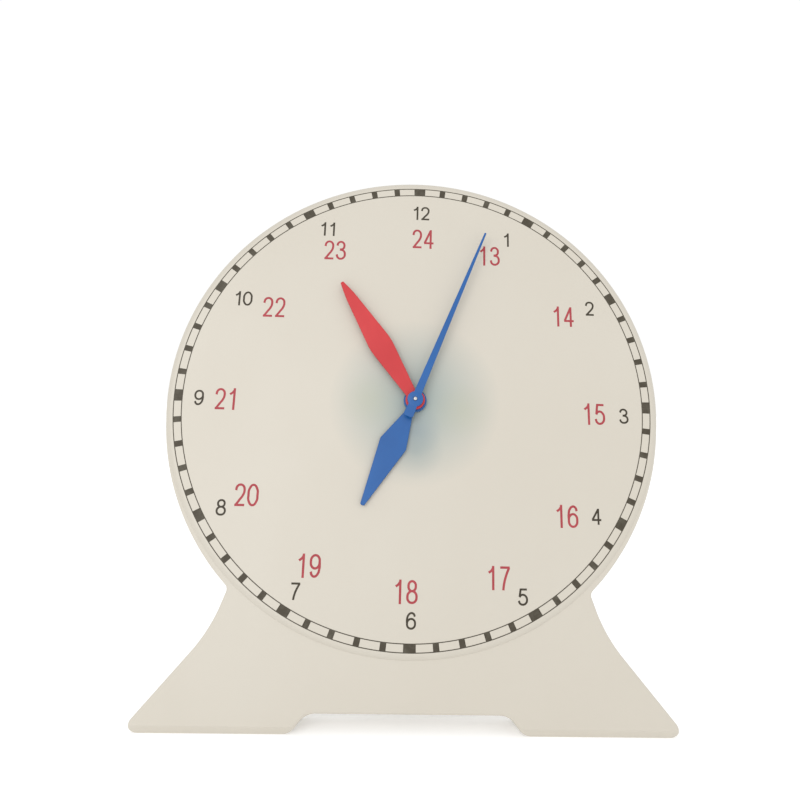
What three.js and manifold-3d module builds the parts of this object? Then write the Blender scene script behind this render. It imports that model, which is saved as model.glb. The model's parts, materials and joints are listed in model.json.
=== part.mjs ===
// A geared teaching clock: a white moulded case on two flared legs, three hands linked by a train of
// involute gears behind the milky dial, a clear gear cover, a setting knob and a folding prop leg.
// Millimetres. The clock is drawn flat, as its dial is seen: x to the right, y up the dial and z out of
// the dial's face towards the viewer. The whole clock is then leaned back, with +Z up and the dial
// facing -Y. The origin is the middle of the bottom of the box round the clock.
import * as THREE from "three";
import { mergeVertices } from "three/addons/utils/BufferGeometryUtils.js";
import Module from "manifold-3d";

const wasm = await Module();
wasm.setup();

// Clearances
const seatGap = 0.25;
const pressGap = 0.1;
const runningGap = 0.2;
const overrun = 1;
const arcStep = 5;
const cornerStepDegrees = 15;
const caseCornerStepDegrees = 22;
const bladeStepDegrees = 6;
const dialSides = 52;
const windowSides = 32;

// Case
const leanDegrees = 15;
const dialRadius = 122.3;
const dialLip = 0.3;
const dialProud = 1;
const dialEdgeRound = 2;
const caseEdgeRound = 1.2;
const wall = 2.2;
const neckDegrees = 47;
const neckFlare = 2.5;
const neckFillet = 3;
const neckArcStartDegrees = 4;
const legBendOut = 6.5;
const legBendDown = 18.84;
const legBendReach = 12.4;
const toeOut = 35.8;
const toeDown = 43.6;
const toeRadius = 3.6;
const soleSetBack = 2.3;
const archHalf = 52.4;
const archSlope = 6.5;
const archRise = 8.8;
const archToeRadius = 7.5;
const archTopRadius = 9;
const standRibSpacing = 34;
const standRibThickness = 1.6;
const standRibHeight = 27.7;
const gearRingWall = 1.6;

// Screws
const caseScrewInset = 13;
const caseScrewAnglesDegrees = [50, 130, -12, 192];
const footScrewInset = 30.3;
const footScrewRise = 18.5;
const screwHeadRadius = 3;
const screwHeadHeight = 1.1;
const screwShankRadius = 1.25;
const screwLength = 9;
const screwBossRadius = 3.6;
const coverScrewLength = 5;
const coverScrewBossRadius = 2.6;
const coverScrewCount = 4;

// Gears
const pressureAngleDegrees = 20;
const thirdDistance = 20;
const thirdDirectionDegrees = -8;
const motionDistance = 15;
const motionDirectionDegrees = 180;
const faceWidth = 2.4;
const layerGap = 0.7;
const flankSlack = 0.06;
const pinionOverhang = 0.2;
const centreTeeth = 64;
const thirdPinionTeeth = 8;
const thirdTeeth = 60;
const secondPinionTeeth = 8;
const cannonTeeth = 10;
const motionTeeth = 30;
const motionPinionTeeth = 8;
const hourTeeth = 32;
const wheelHoleCount = 5;
const hubWall = 2.4;

// Arbors, pipes and bearings
const arborRadius = 1;
const pipeWall = 1;
const bushWall = 1.2;
const bushFlange = 0.7;
const bushFlangeReach = 2.6;
const bushProud = 0.4;
const motionPinRadius = 1;
const motionPinDepth = 1.3;
const motionBossHeight = 0.7;
const clipThickness = 0.6;
const clipRadius = 2.4;
const bearingWall = 1.9;
const bearingHeight = 2;

// Hands, from the lowest to the nearest
const handGap = 0.5;
const handThickness = 1.1;
const bossProud = 0.3;
const hourHandDegrees = 205;
const hourHandLength = 57.3;
const hourBossRadius = 5.7;
const hourNeckHalf = 2.4;
const hourNeckReach = 8;
const hourShoulderHalf = 7;
const hourShoulderReach = 24.2;
const hourTipHalf = 1;
const minuteHandDegrees = 327.5;
const minuteHandLength = 72.6;
const minuteBossRadius = 4.8;
const minuteRootHalf = 2.2;
const minuteBellyHalf = 6.1;
const minuteBellyReach = 33.5;
const minuteTaperHalf = 2.5;
const minuteTipTaper = 8.1;
const minuteTipHalf = 0.8;
const secondHandDegrees = 21;
const secondHandLength = 97.4;
const secondBossRadius = 3.9;
const secondRootHalf = 2;
const secondTipHalf = 0.5;
const secondTailLength = 9.5;
const secondTailHalf = 2.5;
const pinProud = 0.8;

// Gear cover and knob
const windowMargin = 2;
const gearCoverThickness = 2;
const gearCoverLap = 6;
const spigotWall = 1.6;
const spigotDepth = 1.6;
const backCoverThickness = 2.2;
const knobRadius = 11;
const knobHeight = 9;
const knobFluteCount = 14;
const knobFluteDepth = 0.7;
const knobEdgeRound = 1;
const knobCollarRadius = 5;
const knobCollarHeight = 1.6;
const knobWall = 2.4;

// Prop leg
const openDegrees = 32;
const hingeDrop = 51;
const hingePinRadius = 1.5;
const barrelWall = 1.8;
const hingeEarThickness = 3;
const hingeEarWall = 2.6;
const propTopWidth = 44;
const propFootWidth = 62;
const propThickness = 3;
const propFlangeWidth = 2.2;
const propFlangeDepth = 4.5;
const propHeel = 7;
const propCornerRadius = 7;
const propNotchHalf = 12;
const propNotchHeight = 5;
const propNotchRadius = 4;
const propRibCount = 2;

// Worked out from the sizes above
const lean = THREE.MathUtils.degToRad(leanDegrees);
const pressureAngle = THREE.MathUtils.degToRad(pressureAngleDegrees);
const openAngle = THREE.MathUtils.degToRad(openDegrees);

// The legs, from the neck beside the dial down to the toes
const neckAngle = -THREE.MathUtils.degToRad(neckDegrees);
const neckPlace = polar(shellRadius(neckAngle), neckAngle);
const legBendPlace = new THREE.Vector2(neckPlace.x + legBendOut, neckPlace.y - legBendDown);
const toePlace = new THREE.Vector2(legBendPlace.x + toeOut, legBendPlace.y - toeDown);
const footDrop = -toePlace.y;

// The train's layers, from the dial to the back
const bushFlangeBack = -wall - seatGap - bushFlange;
const hourWheelBack = bushFlangeBack - seatGap - faceWidth;
const motionWheelBack = hourWheelBack - layerGap - faceWidth;
const clipBack = motionWheelBack - seatGap - clipThickness;
const centreWheelBack = clipBack - seatGap - seatGap - faceWidth;
const thirdWheelBack = centreWheelBack - layerGap - faceWidth;
const bearingFront = thirdWheelBack - pinionOverhang - seatGap;
const backCoverFront = bearingFront - seatGap;
const caseBack = backCoverFront - backCoverThickness;
const gearCoverFront = caseBack - seatGap;
const gearCoverBack = gearCoverFront - gearCoverThickness;

// The coaxial arbor, pipes and bush at the centre, from the inside out
const minutePipeBore = arborRadius + runningGap;
const minutePipeRadius = minutePipeBore + pipeWall;
const hourPipeBore = minutePipeRadius + runningGap;
const hourPipeRadius = hourPipeBore + pipeWall;
const bushBore = hourPipeRadius + runningGap;
const bushRadius = bushBore + bushWall;

// The hands' layers, from the dial outwards
const hourHandBack = bushProud + handGap;
const hourHandFront = hourHandBack + handThickness + bossProud;
const minuteHandBack = hourHandFront + handGap;
const minuteHandFront = minuteHandBack + handThickness + bossProud;
const secondHandBack = minuteHandFront + handGap;
const secondHandFront = secondHandBack + handThickness;

// Tooth sizes, each as a share of the module: pinions are shifted out and wheels in by the same share
const shiftShare = 0.5;
const addendumShare = 0.8;
const dedendumShare = 1.05;

const centreModule = (2 * thirdDistance) / (centreTeeth + thirdPinionTeeth);
const thirdModule = (2 * thirdDistance) / (thirdTeeth + secondPinionTeeth);
const cannonModule = (2 * motionDistance) / (cannonTeeth + motionTeeth);
const hourModule = (2 * motionDistance) / (motionPinionTeeth + hourTeeth);

const centreWheelGear = { teeth: centreTeeth, module: centreModule, shift: -shiftShare, flankSteps: 1 };
const thirdPinionGear = {
  teeth: thirdPinionTeeth,
  module: centreModule,
  shift: shiftShare,
  flankSteps: 2,
};
const thirdWheelGear = { teeth: thirdTeeth, module: thirdModule, shift: -shiftShare, flankSteps: 1 };
const secondPinionGear = {
  teeth: secondPinionTeeth,
  module: thirdModule,
  shift: shiftShare,
  flankSteps: 2,
};
const cannonGear = { teeth: cannonTeeth, module: cannonModule, shift: shiftShare, flankSteps: 2 };
const motionWheelGear = { teeth: motionTeeth, module: cannonModule, shift: -shiftShare, flankSteps: 1 };
const motionPinionGear = {
  teeth: motionPinionTeeth,
  module: hourModule,
  shift: shiftShare,
  flankSteps: 2,
};
const hourWheelGear = { teeth: hourTeeth, module: hourModule, shift: -shiftShare, flankSteps: 1 };

const thirdDirection = THREE.MathUtils.degToRad(thirdDirectionDegrees);
const motionDirection = THREE.MathUtils.degToRad(motionDirectionDegrees);
const centrePlace = new THREE.Vector2();
const thirdPlace = polar(thirdDistance, thirdDirection);
const motionPlace = polar(motionDistance, motionDirection);

// The round window lies over the middle of the train and just clears its wheels
const thirdReach = thirdDistance + tipRadius(thirdWheelGear);
const motionReach = motionDistance + tipRadius(motionWheelGear);
const windowRadius = (thirdReach + motionReach) / 2 + windowMargin;
const windowPlace = polar((thirdReach - motionReach) / 2, thirdDirection);
const gearCoverRadius = windowRadius + gearCoverLap;
const coverScrewCircle = windowRadius + gearCoverLap / 2;

// The prop's pivot lies behind the case, far enough for its barrel to turn
const barrelRadius = hingePinRadius + runningGap + barrelWall;
const pivot = new THREE.Vector2(-hingeDrop, caseBack - seatGap - barrelRadius);
const tableHeight = worldHeight(-footDrop, -dialProud - soleSetBack);
const propLength = (worldHeight(pivot.x, pivot.y) - tableHeight) / Math.cos(openAngle - lean);

function polar(radius, angle) {
  return new THREE.Vector2(radius * Math.cos(angle), radius * Math.sin(angle));
}

// Height above the dial's centre of a point of the leaned clock
function worldHeight(y, z) {
  return y * Math.cos(lean) + z * Math.sin(lean);
}

// Solids and their joins

// A closed three.js geometry as a solid
function solid(geometry) {
  const bare = geometry.clone();
  bare.deleteAttribute("normal");
  bare.deleteAttribute("uv");
  const merged = mergeVertices(bare);
  return new wasm.Manifold(
    new wasm.Mesh({
      numProp: 3,
      vertProperties: merged.attributes.position.array,
      triVerts: new Uint32Array(merged.index.array),
    }),
  );
}

// A solid as a three.js geometry with flat faces
function geometryOf(body) {
  const mesh = body.getMesh();
  const geometry = new THREE.BufferGeometry();
  geometry.setAttribute("position", new THREE.BufferAttribute(mesh.vertProperties, 3));
  geometry.setIndex(new THREE.BufferAttribute(mesh.triVerts, 1));
  const flat = geometry.toNonIndexed();
  flat.computeVertexNormals();
  return flat;
}

function joined(...bodies) {
  return bodies.reduce((all, body) => all.add(body));
}

function cut(body, ...tools) {
  return tools.reduce((left, tool) => left.subtract(tool), body);
}

// Shapes along z

function disc(radius, back, front, sides = 16) {
  const geometry = new THREE.CylinderGeometry(radius, radius, front - back, sides);
  geometry.rotateX(Math.PI / 2);
  geometry.translate(0, 0, (front + back) / 2);
  return solid(geometry);
}

function discAt(place, radius, back, front, sides) {
  return disc(radius, back, front, sides).translate([place.x, place.y, 0]);
}

// A solid of revolution about z, from [radius, z] pairs that run anticlockwise in the radius-z plane
function turned(profile, sides = 16) {
  const points = profile.map(([radius, z]) => new THREE.Vector2(radius, z));
  const geometry = new THREE.LatheGeometry(points, sides);
  geometry.rotateX(Math.PI / 2);
  return solid(geometry);
}

function ring(outer, inner, back, front, sides = 16) {
  return turned([[inner, back], [outer, back], [outer, front], [inner, front], [inner, back]], sides);
}

// An outline pulled out along z, with its edges rounded by the given amount
function prism(outline, back, front, round = 0, roundSteps = 1) {
  const geometry = new THREE.ExtrudeGeometry(new THREE.Shape(outline), {
    depth: front - back - 2 * round,
    bevelEnabled: round > 0,
    bevelThickness: round,
    bevelSize: round,
    bevelOffset: -round,
    bevelSegments: roundSteps,
  });
  geometry.translate(0, 0, back + round);
  return solid(geometry);
}

function block(width, low, high, back, front) {
  const geometry = new THREE.BoxGeometry(width, high - low, front - back);
  geometry.translate(0, (high + low) / 2, (front + back) / 2);
  return solid(geometry);
}

// A bar of round section along x, centred at a point of the y-z plane
function crossBar(radius, width, y, z, sides = 16) {
  const geometry = new THREE.CylinderGeometry(radius, radius, width, sides);
  geometry.rotateZ(Math.PI / 2);
  geometry.translate(0, y, z);
  return solid(geometry);
}

// Outlines

// A polygon of [x, y, radius] corners with each corner rounded by an arc of its radius
function roundedOutline(corners, stepDegrees = cornerStepDegrees) {
  const points = [];
  corners.forEach(([x, y, radius], i) => {
    const here = new THREE.Vector2(x, y);
    const before = new THREE.Vector2(...corners.at(i - 1));
    const after = new THREE.Vector2(...corners[(i + 1) % corners.length]);
    const inward = here.clone().sub(before).normalize();
    const outward = after.clone().sub(here).normalize();
    const turn = Math.atan2(inward.cross(outward), inward.dot(outward));
    if (!radius) {
      points.push(here);
      return;
    }
    const reach = radius * Math.tan(Math.abs(turn) / 2);
    const start = here.clone().addScaledVector(inward, -reach);
    const side = Math.sign(turn);
    const centre = start.clone().add(new THREE.Vector2(-inward.y, inward.x).multiplyScalar(side * radius));
    const byAngle = Math.abs(THREE.MathUtils.radToDeg(turn)) / stepDegrees;
    const byLength = (Math.abs(turn) * radius) / arcStep;
    const steps = Math.ceil(Math.max(byAngle, byLength));
    for (let step = 0; step <= steps; step++)
      points.push(start.clone().rotateAround(centre, (turn * step) / steps));
  });
  return points;
}

// The right half of an outline, from the bottom to the top, with its mirror image
function mirrored(rightCorners) {
  const left = rightCorners.map(([x, y, radius]) => [-x, y, radius]).reverse();
  return [...rightCorners, ...left];
}

// An anticlockwise outline moved inwards by a distance
function inset(outline, distance) {
  return outline.map((here, i) => {
    const before = outline.at(i - 1);
    const after = outline[(i + 1) % outline.length];
    const inward = here.clone().sub(before).normalize();
    const outward = after.clone().sub(here).normalize();
    const normal = new THREE.Vector2(-inward.y - outward.y, inward.x + outward.x).normalize();
    const miter = normal.dot(new THREE.Vector2(-inward.y, inward.x));
    return here.clone().addScaledVector(normal, distance / miter);
  });
}

// The case is a lip smaller than the dial above, and flares out below towards the necks
function shellRadius(angle) {
  const below = Math.max(0, -angle, angle - Math.PI);
  return dialRadius - dialLip - (neckFlare * below) / neckAngle;
}

// The silhouette of the case: two feet with the arch between them, the flared legs and the round dial
function caseOutline() {
  const fromNeck = THREE.MathUtils.degToRad(neckArcStartDegrees);
  const arcSteps = 48;
  const arc = [];
  for (let step = 0; step <= arcSteps; step++) {
    const share = step / arcSteps;
    const sweep = Math.PI - 2 * (neckAngle + fromNeck);
    const angle = neckAngle + fromNeck + sweep * share;
    const point = polar(shellRadius(angle), angle);
    arc.push([point.x, point.y, 0]);
  }
  const rightSide = [
    [archHalf - archSlope, -footDrop + archRise, archTopRadius],
    [archHalf, -footDrop, archToeRadius],
    [toePlace.x, toePlace.y, toeRadius],
    [legBendPlace.x, legBendPlace.y, legBendRadius()],
    [neckPlace.x, neckPlace.y, neckFillet],
  ];
  const leftSide = rightSide.map(([x, y, radius]) => [-x, y, radius]).reverse();
  return roundedOutline([...rightSide, ...arc, ...leftSide], caseCornerStepDegrees);
}

// The legs' bend is as long as its reach to each side of the corner
function legBendRadius() {
  const upper = legBendPlace.clone().sub(neckPlace);
  const lower = toePlace.clone().sub(legBendPlace);
  return legBendReach / Math.tan(upper.angleTo(lower) / 2);
}

// Everything below the table top, raised by a distance. The soles start a little behind the stand's face
function belowTable(raised = 0) {
  const size = 4 * footDrop;
  const geometry = new THREE.BoxGeometry(size, size, size);
  geometry.translate(0, -size / 2 + raised, 0);
  geometry.rotateX(lean);
  geometry.translate(0, -footDrop, -dialProud - soleSetBack);
  return solid(geometry);
}

// Gears

function pitchRadius({ teeth, module }) {
  return (teeth * module) / 2;
}

function tipRadius(gear) {
  return pitchRadius(gear) + (addendumShare + gear.shift) * gear.module;
}

function rootRadius(gear) {
  return pitchRadius(gear) - (dedendumShare - gear.shift) * gear.module;
}

function involute(angle) {
  return Math.tan(angle) - angle;
}

// An involute gear's outline, with the middle of one tooth on +x and radial flanks below the base circle
function gearOutline(gear) {
  const { teeth, shift, flankSteps } = gear;
  const pitch = pitchRadius(gear);
  const base = pitch * Math.cos(pressureAngle);
  const tip = tipRadius(gear);
  const root = rootRadius(gear);
  const halfAtPitch =
    (Math.PI / 2 + 2 * shift * Math.tan(pressureAngle)) / teeth - flankSlack / pitch;
  const halfAt = (radius) => {
    const angle = Math.acos(Math.min(1, base / radius));
    return halfAtPitch + involute(pressureAngle) - involute(angle);
  };
  const flankStart = Math.max(base, root);
  const radii = root < base ? [root] : [];
  for (let step = 0; step <= flankSteps; step++)
    radii.push(flankStart + ((tip - flankStart) * step) / flankSteps);
  const points = [];
  for (let tooth = 0; tooth < teeth; tooth++) {
    const centre = (2 * Math.PI * tooth) / teeth;
    for (const radius of radii) points.push(polar(radius, centre - halfAt(radius)));
    for (const radius of radii.toReversed()) points.push(polar(radius, centre + halfAt(radius)));
  }
  return points;
}

function gearBody(gear, back, front) {
  return prism(gearOutline(gear), back, front);
}

// The turn that puts a gear in mesh with its neighbour, from which it lies in the direction lineAngle
function meshedTurn(lineAngle, neighbourTurn, neighbourTeeth, teeth) {
  const halfPitch = Math.PI / teeth;
  return lineAngle + Math.PI + halfPitch - ((neighbourTurn - lineAngle) * neighbourTeeth) / teeth;
}

const centreTurn = 0;
const thirdPinionTurn = meshedTurn(thirdDirection, centreTurn, centreTeeth, thirdPinionTeeth);
const thirdWheelTurn = 0;
const secondPinionTurn = meshedTurn(
  thirdDirection + Math.PI,
  thirdWheelTurn,
  thirdTeeth,
  secondPinionTeeth,
);
const cannonTurn = 0;
const motionTurn = meshedTurn(motionDirection, cannonTurn, cannonTeeth, motionTeeth);
const hourWheelTurn = meshedTurn(
  motionDirection + Math.PI,
  motionTurn,
  motionPinionTeeth,
  hourTeeth,
);

// A large wheel with a ring of round holes between its hub and its rim
function holedWheel(gear, bore, hubRadius) {
  const holeRadius = (rootRadius(gear) - hubRadius) / 3;
  const holeCircle = (hubRadius + rootRadius(gear)) / 2;
  const holes = [];
  for (let i = 0; i < wheelHoleCount; i++) {
    const place = polar(holeCircle, (2 * Math.PI * i) / wheelHoleCount);
    holes.push(discAt(place, holeRadius, -overrun, faceWidth + overrun, 14));
  }
  const through = disc(bore, -overrun, faceWidth + overrun, 24);
  return cut(gearBody(gear, 0, faceWidth), ...holes, through);
}

// Sub-parts of the case

function screwBoss(place, front) {
  const pilotDepth = screwLength + overrun;
  const boss = discAt(place, screwBossRadius, backCoverFront + seatGap, front, 12);
  const pilot = discAt(
    place,
    screwShankRadius + runningGap,
    backCoverFront - overrun,
    backCoverFront + pilotDepth,
    12,
  );
  return { boss, pilot };
}

function caseScrewPlaces() {
  const onDial = caseScrewAnglesDegrees.map((angle) =>
    polar(dialRadius - caseScrewInset, THREE.MathUtils.degToRad(angle)),
  );
  const inFeet = [1, -1].map(
    (side) => new THREE.Vector2(side * (toePlace.x - footScrewInset), toePlace.y + footScrewRise),
  );
  return [...onDial, ...inFeet];
}

function coverScrewPlaces() {
  const places = [];
  for (let i = 0; i < coverScrewCount; i++) {
    const angle = (2 * Math.PI * (i + 1 / 2)) / coverScrewCount;
    places.push(polar(coverScrewCircle, angle).add(windowPlace));
  }
  return places;
}

// The raised round face with its rounded edge
function dialFace() {
  const radius = dialRadius;
  const back = -wall - dialEdgeRound;
  const profile = [[0, back]];
  profile.push([radius, back]);
  const steps = 3;
  for (let step = 0; step <= steps; step++) {
    const angle = (Math.PI / 2) * (step / steps);
    profile.push([
      radius - dialEdgeRound + dialEdgeRound * Math.cos(angle),
      -dialEdgeRound + dialEdgeRound * Math.sin(angle),
    ]);
  }
  profile.push([0, 0]);
  return turned(profile, dialSides);
}

function standRibs() {
  const back = backCoverFront + seatGap;
  const front = -dialProud - wall + overrun / 2;
  const low = -footDrop + archRise + overrun;
  const rib = block(standRibThickness, low, low + standRibHeight, back, front);
  return [-1, 0, 1].map((side) => rib.translate([side * standRibSpacing, 0, 0]));
}

function frontCase() {
  const outline = caseOutline();
  const shell = prism(outline, caseBack, -dialProud, caseEdgeRound).add(dialFace());
  const standHollow = prism(inset(outline, wall), caseBack - overrun, -dialProud - wall);
  const dialHollow = disc(dialRadius - dialLip - wall, caseBack - overrun, -wall, dialSides);
  const hollow = standHollow.add(dialHollow).subtract(belowTable(wall));
  const screws = caseScrewPlaces().map((place) => screwBoss(place, -wall + overrun / 2));
  const ringBack = backCoverFront + seatGap;
  const gearRing = ring(
    windowRadius + gearRingWall,
    windowRadius,
    ringBack,
    -wall + overrun / 2,
    windowSides,
  ).translate([windowPlace.x, windowPlace.y, 0]);
  const ringNotches = coverScrewPlaces().map((place) =>
    discAt(
      place,
      coverScrewBossRadius + runningGap,
      ringBack - overrun,
      backCoverFront + coverScrewLength + overrun,
      16,
    ),
  );
  const bossFront = -wall + overrun / 2;
  const thirdBoss = discAt(thirdPlace, arborRadius + bearingWall, hourWheelBack, bossFront, 16);
  const thirdBore = discAt(
    thirdPlace,
    arborRadius + runningGap,
    hourWheelBack - overrun,
    -wall - seatGap,
    16,
  );
  const motionBoss = discAt(
    motionPlace,
    motionPinRadius + pipeWall,
    -wall - motionBossHeight,
    bossFront,
    14,
  );
  const motionBore = discAt(
    motionPlace,
    motionPinRadius + pressGap,
    -wall - motionBossHeight - overrun,
    -motionPinDepth + pressGap,
    14,
  );
  const centreHole = disc(bushRadius + pressGap, caseBack, overrun, 32);
  const body = joined(
    cut(shell, hollow),
    ...screws.map(({ boss }) => boss),
    ...standRibs(),
    cut(gearRing, ...ringNotches),
    thirdBoss,
    motionBoss,
  );
  return cut(
    body,
    ...screws.map(({ pilot }) => pilot),
    thirdBore,
    motionBore,
    centreHole,
    belowTable(),
  );
}

// A hinge ear: a wall behind the cover, rounded round the pin
function hingeEar(x) {
  const width = hingeEarThickness;
  const radius = hingePinRadius + hingeEarWall;
  const web = block(width, pivot.x - radius, pivot.x + radius, pivot.y, caseBack + overrun / 2);
  const foot = block(
    width,
    pivot.x - radius - hingeEarWall,
    pivot.x + radius + hingeEarWall,
    caseBack - hingeEarWall / 2,
    caseBack + overrun / 2,
  );
  const eye = crossBar(radius, width, pivot.x, pivot.y);
  return joined(web, foot, eye).translate([x, 0, 0]);
}

function backCover() {
  const outline = inset(caseOutline(), wall + seatGap);
  const plate = prism(outline, caseBack, backCoverFront).subtract(belowTable(wall + seatGap));
  const window = discAt(windowPlace, windowRadius, caseBack - overrun, overrun, windowSides);
  const bosses = coverScrewPlaces().map((place) =>
    discAt(place, coverScrewBossRadius, caseBack + overrun, backCoverFront + coverScrewLength, 12),
  );
  const pilots = coverScrewPlaces().map((place) =>
    discAt(
      place,
      screwShankRadius + runningGap,
      caseBack - overrun,
      backCoverFront + coverScrewLength - overrun,
      12,
    ),
  );
  const recesses = caseScrewPlaces().map((place) =>
    discAt(
      place,
      screwHeadRadius + seatGap,
      caseBack - overrun,
      caseBack + screwHeadHeight + seatGap,
      16,
    ),
  );
  const holes = caseScrewPlaces().map((place) =>
    discAt(place, screwShankRadius + seatGap, caseBack - overrun, overrun, 12),
  );
  const earPlace = propTopWidth / 2 + seatGap + hingeEarThickness / 2;
  const ears = [hingeEar(-earPlace), hingeEar(earPlace)];
  const pinHole = crossBar(hingePinRadius + pressGap, 2 * propTopWidth, pivot.x, pivot.y, 20);
  const body = joined(cut(plate, window), ...bosses, ...ears);
  return cut(body, ...pilots, ...recesses, ...holes, pinHole);
}

// The clear cover: a disc that laps the window's edge, a spigot in the window and two bearings
function gearCover() {
  const plate = discAt(windowPlace, gearCoverRadius, gearCoverBack, gearCoverFront, windowSides);
  const spigotRadius = windowRadius - runningGap;
  const spigot = ring(
    spigotRadius,
    spigotRadius - spigotWall,
    gearCoverFront - overrun / 2,
    gearCoverFront + spigotDepth,
    windowSides,
  ).translate([windowPlace.x, windowPlace.y, 0]);
  const bearings = [centrePlace, thirdPlace].map((place) =>
    discAt(place, arborRadius + bearingWall, gearCoverFront - overrun / 2, bearingFront, 20),
  );
  const outerBearings = [
    discAt(centrePlace, arborRadius + bearingWall, gearCoverBack - bearingHeight, gearCoverFront, 20),
  ];
  const bores = [centrePlace, thirdPlace].map((place) =>
    discAt(
      place,
      arborRadius + runningGap,
      gearCoverBack - bearingHeight - overrun,
      bearingFront + overrun,
      14,
    ),
  );
  const screwHoles = coverScrewPlaces().map((place) =>
    discAt(place, screwShankRadius + runningGap, gearCoverBack - overrun, gearCoverFront + overrun, 12),
  );
  return cut(joined(plate, spigot, ...bearings, ...outerBearings), ...bores, ...screwHoles);
}

// A pan-head screw, its head's underside at z = 0 and its shank towards +z
function screw(length) {
  const headRound = screwHeadHeight / 2;
  const tip = screwShankRadius;
  return turned(
    [
      [0, -screwHeadHeight],
      [screwHeadRadius - headRound, -screwHeadHeight],
      [screwHeadRadius, -screwHeadHeight + headRound],
      [screwHeadRadius, 0],
      [screwShankRadius, 0],
      [screwShankRadius, length - tip],
      [0, length],
    ],
    12,
  );
}

// Sub-parts of the movement

function centreBush() {
  return turned([
    [bushBore, bushFlangeBack],
    [bushRadius + bushFlangeReach, bushFlangeBack],
    [bushRadius + bushFlangeReach, -wall - seatGap],
    [bushRadius, -wall - seatGap],
    [bushRadius, bushProud],
    [bushBore, bushProud],
    [bushBore, bushFlangeBack],
  ], 24);
}

function hourWheel() {
  const pipe = disc(hourPipeRadius, hourWheelBack, hourHandFront - bossProud / 2, 24);
  const bore = disc(hourPipeBore, hourWheelBack - overrun, hourHandFront + overrun, 24);
  return cut(gearBody(hourWheelGear, hourWheelBack, hourWheelBack + faceWidth).add(pipe), bore);
}

function motionGear() {
  const wheel = gearBody(motionWheelGear, motionWheelBack, motionWheelBack + faceWidth);
  const pinion = gearBody(
    motionPinionGear,
    motionWheelBack + faceWidth / 2,
    hourWheelBack + faceWidth + pinionOverhang / 2,
  );
  const bore = disc(motionPinRadius + runningGap, motionWheelBack - overrun, 0, 20);
  return cut(wheel.add(pinion), bore);
}

function motionPin() {
  return disc(motionPinRadius, clipBack, -motionPinDepth, 20);
}

function motionClip() {
  return ring(clipRadius, motionPinRadius + pressGap, clipBack, clipBack + clipThickness, 20);
}

// The pinion that carries the minute hand on its pipe and the centre wheel behind
function cannonPinion() {
  const teeth = gearBody(
    cannonGear,
    motionWheelBack - pinionOverhang,
    motionWheelBack + faceWidth + pinionOverhang,
  );
  const pipe = disc(minutePipeRadius, centreWheelBack, minuteHandFront - bossProud / 2, 24);
  const bore = disc(minutePipeBore, centreWheelBack - overrun, minuteHandFront + overrun, 24);
  return cut(teeth.add(pipe), bore);
}

function centreWheel() {
  return holedWheel(centreWheelGear, minutePipeRadius + pressGap, minutePipeRadius + hubWall);
}

function thirdWheel() {
  return holedWheel(thirdWheelGear, arborRadius + pressGap, arborRadius + hubWall);
}

function pinionOnArbor(gear, back, front) {
  const bore = disc(arborRadius + pressGap, back - overrun, front + overrun, 14);
  return cut(gearBody(gear, back, front), bore);
}

function secondArbor() {
  const dome = arborRadius / 2;
  const front = secondHandFront + pinProud;
  const back = gearCoverBack - bearingHeight;
  return turned(
    [
      [0, back],
      [arborRadius, back],
      [arborRadius, front - dome],
      [arborRadius - dome, front],
      [0, front],
    ],
    24,
  );
}

function thirdArbor() {
  return disc(arborRadius, knobBack() + knobWall, -wall - seatGap - seatGap, 20);
}

function knobBack() {
  return gearCoverBack - seatGap - knobCollarHeight - knobHeight;
}

// A fluted knob with a collar towards the cover and a blind bore for the arbor
function settingKnob() {
  const points = [];
  const stepsPerFlute = 4;
  const steps = knobFluteCount * stepsPerFlute;
  for (let i = 0; i < steps; i++) {
    const angle = (2 * Math.PI * i) / steps;
    const wave = Math.abs(Math.cos((knobFluteCount * angle) / 2));
    points.push(polar(knobRadius - knobFluteDepth * wave ** 2, angle));
  }
  const collarBack = gearCoverBack - seatGap - knobCollarHeight;
  const grip = prism(points, knobBack(), collarBack, knobEdgeRound);
  const collar = disc(knobCollarRadius, collarBack - overrun, gearCoverBack - seatGap, 24);
  const bore = disc(
    arborRadius + pressGap,
    knobBack() + knobWall - pressGap,
    gearCoverBack + overrun,
    14,
  );
  return cut(grip.add(collar), bore);
}

// Hands, each drawn pointing up from the centre with its back at z = 0

function pressedHand(blade, bossRadius, bore, bossHeight) {
  const boss = disc(bossRadius, 0, bossHeight, 24);
  const hole = disc(bore, -overrun, bossHeight + overrun, 20);
  return cut(blade.add(boss), hole);
}

function hourHand() {
  const blade = prism(
    roundedOutline(
      mirrored([
        [hourNeckHalf, 0, 0],
        [hourNeckHalf, hourNeckReach, hourNeckHalf],
        [hourShoulderHalf, hourShoulderReach, hourShoulderHalf / 2],
        [hourTipHalf, hourHandLength, hourTipHalf / 2],
      ]),
    ),
    0,
    handThickness,
  );
  return pressedHand(blade, hourBossRadius, hourPipeRadius + pressGap, handThickness + bossProud);
}

function minuteHand() {
  const taperReach = minuteHandLength - minuteTipTaper;
  const blade = prism(
    roundedOutline(
      mirrored([
        [minuteRootHalf, 0, 0],
        [minuteBellyHalf, minuteBellyReach, minuteBellyReach],
        [minuteTaperHalf, taperReach, taperReach],
        [minuteTipHalf, minuteHandLength, minuteTipHalf / 2],
      ]),
      bladeStepDegrees,
    ),
    0,
    handThickness,
  );
  return pressedHand(blade, minuteBossRadius, minutePipeRadius + pressGap, handThickness + bossProud);
}

function secondHand() {
  const blade = prism(
    roundedOutline(
      mirrored([
        [secondTailHalf, -secondTailLength, secondTailHalf / 2],
        [secondRootHalf, 0, 0],
        [secondTipHalf, secondHandLength, secondTipHalf / 2],
      ]),
    ),
    0,
    handThickness,
  );
  return pressedHand(blade, secondBossRadius, arborRadius + pressGap, handThickness);
}

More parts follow.
